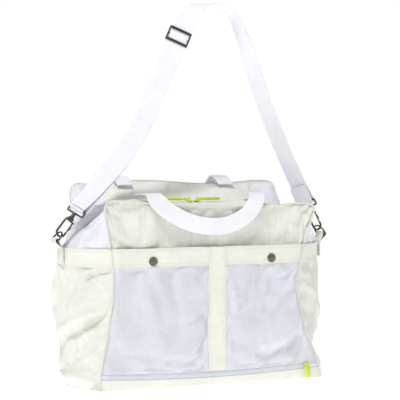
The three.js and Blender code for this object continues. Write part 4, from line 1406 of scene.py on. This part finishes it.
def makeHooks(eyeStations):
    for name, end in ringEnds.items():
        along = end["pull"]
        ringPlace = frameOf(end["bar"], Vector((0, 1, 0)), along, Vector((0, 1, 0)).cross(along))
        ringLine = [(-20.25, 0), (20.25, 0)] + arc((0, 4), 20.25, 0, 180, 28, height=15.25 / 20.25)
        ring = roundCord("d_ring_wire_" + name, laid(ringPlace, roundCorner(ringLine)), hook["ringWire"],
                         closed=True, sides=4)
        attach(dress(ring, gunmetal, ("d_ring_" + name,)), "d_ring_" + name)

        place = frameOf(end["bow"], end["inPlane"], along, end["inPlane"].cross(along))
        jaw = [(-8.5, 6.2)] + arc((0, 0), hook["bend"], 180, 360, 20)
        jaw += [(8.5, 10), (8.5, 20), (8.3, 27), (6.5, 31)]
        parts = [roundCord("jaw", laid(place, jaw), hook["wire"], sides=4),
                 roundedBlock("head", (19.5, 9, 4.6), (0, 30.5, 0), place, 1.3, taper=0.62),
                 turnPiece("neck", [(34, 5.2), (35.5, 5.2), (36.5, 3.6), (40, 3.5)],
                           place @ Matrix.Rotation(-math.pi / 2, 4, "X"), 24),
                 turnPiece("rivet", [(-2.7, 1.7), (-2.4, 2.1), (2.4, 2.1), (2.7, 1.7)],
                           place @ Matrix.Translation((-8.5 * mm, 27.6 * mm, 0)), 20)]
        body = joined("swivel_hook_" + name, *parts)
        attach(dress(body, gunmetal, ("hook_" + name,)), "hook_" + name)
        gateLine = [(-8.5, 25.6), (-8.7, 20), (-8.7, 13), (-8.4, 7.4)]
        gateRod = roundCord("gate_rod", laid(place, gateLine), hook["gateWire"], sides=4)
        thumb = roundedBlock("thumb", (2.6, 8, 3.4), (-10.0, 15, 0), place, 0.7)
        gate = joined("hook_gate_rod_" + name, gateRod, thumb)
        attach(dress(gate, gunmetal, ("hook_gate_" + name,)), "hook_gate_" + name)

        across = eyeStations[name][1]
        eyePlace = frameOf(end["bow"], across, along, across.cross(along))
        half, low, high = 21.75, 45.25, 57.25
        loop = roundCorner([(0, low), (half, low), (half, high), (-half, high), (-half, low)])
        loop = roundCord("eye_loop", laid(eyePlace, loop), hook["eyeWire"], True, 4)
        stem = turnPiece("stem", [(40.4, 3.4), (41.4, 3.8), (43.4, 3.8), (46, 2.6)],
                         eyePlace @ Matrix.Rotation(-math.pi / 2, 4, "X"), 24)
        eye = joined("swivel_eye_" + name, loop, stem)
        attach(dress(eye, gunmetal, ("hook_eye_" + name,)), "strap")


def roundCorner(points, radius=3.0, steps=5):       # rounds the sharp corners of a closed line
    rounded = []
    count = len(points)
    for i in range(count):
        before, here, after = Vector(points[i - 1]), Vector(points[i]), Vector(points[(i + 1) % count])
        back, ahead = (before - here), (after - here)
        turn = back.angle(-ahead) if back.length > 1e-6 and ahead.length > 1e-6 else 0.0
        if turn < 0.6:
            rounded.append(tuple(here))
            continue
        r = min(radius, back.length * 0.45, ahead.length * 0.45)
        a, b = here + back.normalized() * r, here + ahead.normalized() * r
        for k in range(steps + 1):
            t = k / steps
            rounded.append(tuple(a * (1 - t) ** 2 + here * (2 * t * (1 - t)) + b * t ** 2))
    return rounded


def makeRingTabs():
    for name, end in ringEnds.items():
        side = end["side"]
        outer = [(279.3, 237), (279.6, 255), (280.8, 268)]
        loop = arc((288, 282), 4.1, -40, 200, 14)
        inner = [(281.3, 274.5), (278.6, 268), (277.6, 255), (277.3, 237)]
        route = outer + [(290.3, 277.0)] + loop[1:] + inner
        curve = throughPoints([Vector((side * x, 0, z)) * mm for x, z in route])
        stations = []
        for k in range(61):
            t = k / 60
            along = (curve(min(t + 0.004, 1)) - curve(max(t - 0.004, 0))).normalized()
            across = Vector((0, side, 0))
            stations.append((curve(t), across, along.cross(across)))
        tab = layWebbing("ring_tab_loop_" + name, stations, 30 * mm, 1.5 * mm, cup=0.0)
        for vertex in tab.data.vertices:         # it follows the round of the band it is sewn to
            sewn = 1 - smooth((vertex.co.z - bandTop) / (6 * mm))
            vertex.co.x -= side * 1.3 * mm * (vertex.co.y / (15 * mm)) ** 2 * sewn
        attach(dress(tab, plainTwill, ("ring_tab_" + name,)), "bag")


def makeAdjuster(station):
    point, across, _, along = station
    place = frameOf(point, -across, along, along.cross(across))
    cheek, length = 21.7, 30
    parts = [roundedBlock("cheek", (3.0, length, 8.0), (side * cheek, 0, 1.8), place, 1.2)
             for side in (-1, 1)]
    parts += [roundedBlock("flat_bar", (2 * cheek, 5.4, 2.6), (0, y, 5.0), place, 0.9) for y in (-12.2, 12.2)]
    bar = [(-cheek, 1.3), (cheek, 1.3)]
    parts.append(turnPiece("bar", bar, place @ Matrix.Rotation(math.pi / 2, 4, "Y"), 20))
    slide = joined("three_bar_slide", *parts)
    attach(dress(slide, gunmetal, ("strap_adjuster",)), "strap_adjuster")


def makeSnaps():
    profile = [(0, 9.0), (0.7, 9.0), (1.5, 8.6), (1.95, 7.9), (2.0, 7.2), (1.7, 6.7), (1.25, 6.3),
               (1.15, 3.4), (1.45, 2.9), (1.6, 2.4), (1.35, 1.9), (1.3, 1.3), (1.9, 1.1), (2.1, 0.6),
               (2.15, 0.15)]
    for name in ("left", "right"):
        low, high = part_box("snap_cap_" + name)
        middle = (low + high) / 2
        place = Matrix.Translation((middle.x, high.y, middle.z)) @ Matrix.Rotation(math.pi / 2, 4, "X")
        cap = turnPiece("snap_button_" + name, profile, place, 48)
        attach(dress(cap, agedBrass, ("snap_cap_" + name,)), "pocket_mouth")
        for kind in ("snap_socket_", "snap_stud_"):
            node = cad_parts[kind + name]
            node.data.materials.clear()
            node.data.materials.append(gunmetal)


# ---- lime sliders and pulls ----

slider = {
    "foot": 1.6 * mm,         # how far the zip's plane lies under its box
    "link": 7.8 * mm,         # how far above that plane its pull hangs
}


def makeSlider(name, place):
    parts = [roundedBlock("plate", (14, 11, 1.9), (0, 0, 4.3), place, 0.6, taper=0.82),
             roundedBlock("lip", (11, 1.5, 3.4), (0, -4.8, 3.3), place, 0.4)]
    bridge = [place @ Vector((x * mm, 0, z * mm)) for x, z in arc((0, 7.0), 3.1, -20, 200, 14, height=1.05)]
    parts.append(roundCord("bridge", bridge, 0.95 * mm, sides=3))
    parts += [roundedBlock("foot", (1.9, 3.0, 2.2), (x, 0, 5.6), place, 0.4) for x in (-2.9, 2.9)]
    return joined(name, *parts)


def makeCordPull(name, place, length):       # a wire link, and a dipped cord pull with a ribbed grip
    ring = [(3.9 * math.cos(a) - 3.6, 2.9 * math.sin(a)) for a in (2 * math.pi * k / 28 for k in range(28))]
    link = roundCord("link", laid(place, ring), 0.85 * mm, True, 3)
    profile = [(5.6, 0.8), (5.9, 1.8), (7.0, 2.3), (14, 2.1), (15.2, 2.1), (15.8, 2.6)]
    start = 17.0
    while start < length - 6:
        profile += [(start, 2.8), (start + 1.5, 2.8), (start + 1.9, 2.35), (start + 2.7, 2.35)]
        start += 3.1
    profile += [(length - 3.5, 2.6), (length - 1.2, 2.0), (length - 0.3, 1.0), (length, 0.25)]
    grip = turnPiece("grip", profile, place @ Matrix.Rotation(-math.pi / 2, 4, "Y"), 20)
    return joined(name, link, grip)


def makeSliders():
    for name, side in (("left", -1), ("right", 1)):
        low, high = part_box("zip_slider_" + name)
        middle = (low + high) / 2
        zipZ = low.z - slider["foot"]
        turn = Matrix.Rotation(0 if side < 0 else math.pi, 4, "Z")
        body = makeSlider("zip_slider_body_" + name, Matrix.Translation((middle.x, 0, zipZ)) @ turn)
        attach(dress(body, limePaint, ("zip_slider_" + name,)), "zip_slider_" + name)
        pivot = Matrix.Translation((middle.x, 0, zipZ + slider["link"]))
        tab = makeCordPull("zip_pull_cord_" + name, pivot @ turn, 50)
        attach(dress(tab, limePaint, ("zip_pull_" + name,)), "zip_pull_" + name)
    low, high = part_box("base_zip_slider")
    middle = (low + high) / 2
    zipY = high.y + slider["foot"]
    place = Matrix.Translation((middle.x, zipY, middle.z)) @ Matrix.Rotation(math.pi / 2, 4, "X")
    body = makeSlider("base_slider_body", place @ Matrix.Rotation(math.pi / 2, 4, "Z"))
    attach(dress(body, limePaint, ("base_zip_slider",)), "base_zip_slider")
    pivot = Matrix.Translation((middle.x, zipY - slider["link"], middle.z))
    hang = pivot @ Matrix.Rotation(math.pi / 2, 4, "X") @ Matrix.Rotation(math.pi / 2, 4, "Z")
    ring = [(3.4 * math.cos(a) - 3.2, 2.6 * math.sin(a)) for a in (2 * math.pi * k / 24 for k in range(24))]
    link = roundCord("link", laid(hang, ring), 0.8 * mm, True, 3)
    flat = roundedBlock("flat", (17.5, 8.2, 2.4), (-15.2, 0, 0), hang, 0.8)
    ribs = [roundedBlock("rib", (1.1, 6.4, 3.2), (-(10 + 2.6 * k), 0, 0), hang, 0.3) for k in range(5)]
    tab = joined("base_pull_tab", link, flat, *ribs)
    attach(dress(tab, limePaint, ("base_zip_pull",)), "base_zip_pull")


# ---- making it all ----

gussets = list(makeGussets())
pocket = makePocketPanel()
sleeve = makeSleeve()
frontPanel = makeUpperPanel("front", wallFrontY, 31.0)
rearPanel = makeUpperPanel("rear", wallRearY, 37.0)
frontStrip = makeTopStrip("front", 41.0)
rearStrip = makeTopStrip("rear", 43.0)
settleCloth()

for gusset, name in gussets:
    finishGusset(gusset, name)
makeGussetBands()
makeWalls()
makeBase()
print("lower body is sewn")
finishPocketPanel(*pocket)
makeHem()
makeCentreBand()
makeBaseZip()
finishSleeve(sleeve)
print("pocket and sleeve are sewn")
finishUpperPanel(frontPanel, "front")
finishUpperPanel(rearPanel, "rear")
finishTopStrip(*frontStrip, "front")
finishTopStrip(*rearStrip, "rear")
makePiping()
print("zipped top is sewn")
makeHandles()
adjusterStation, leftStation, rightStation = makeStrap()
makeRingTabs()
print("webbing is laid")
makeHooks({"left": leftStation, "right": rightStation})
makeAdjuster(adjusterStation)
makeSnaps()
makeSliders()
print("metal is fitted")
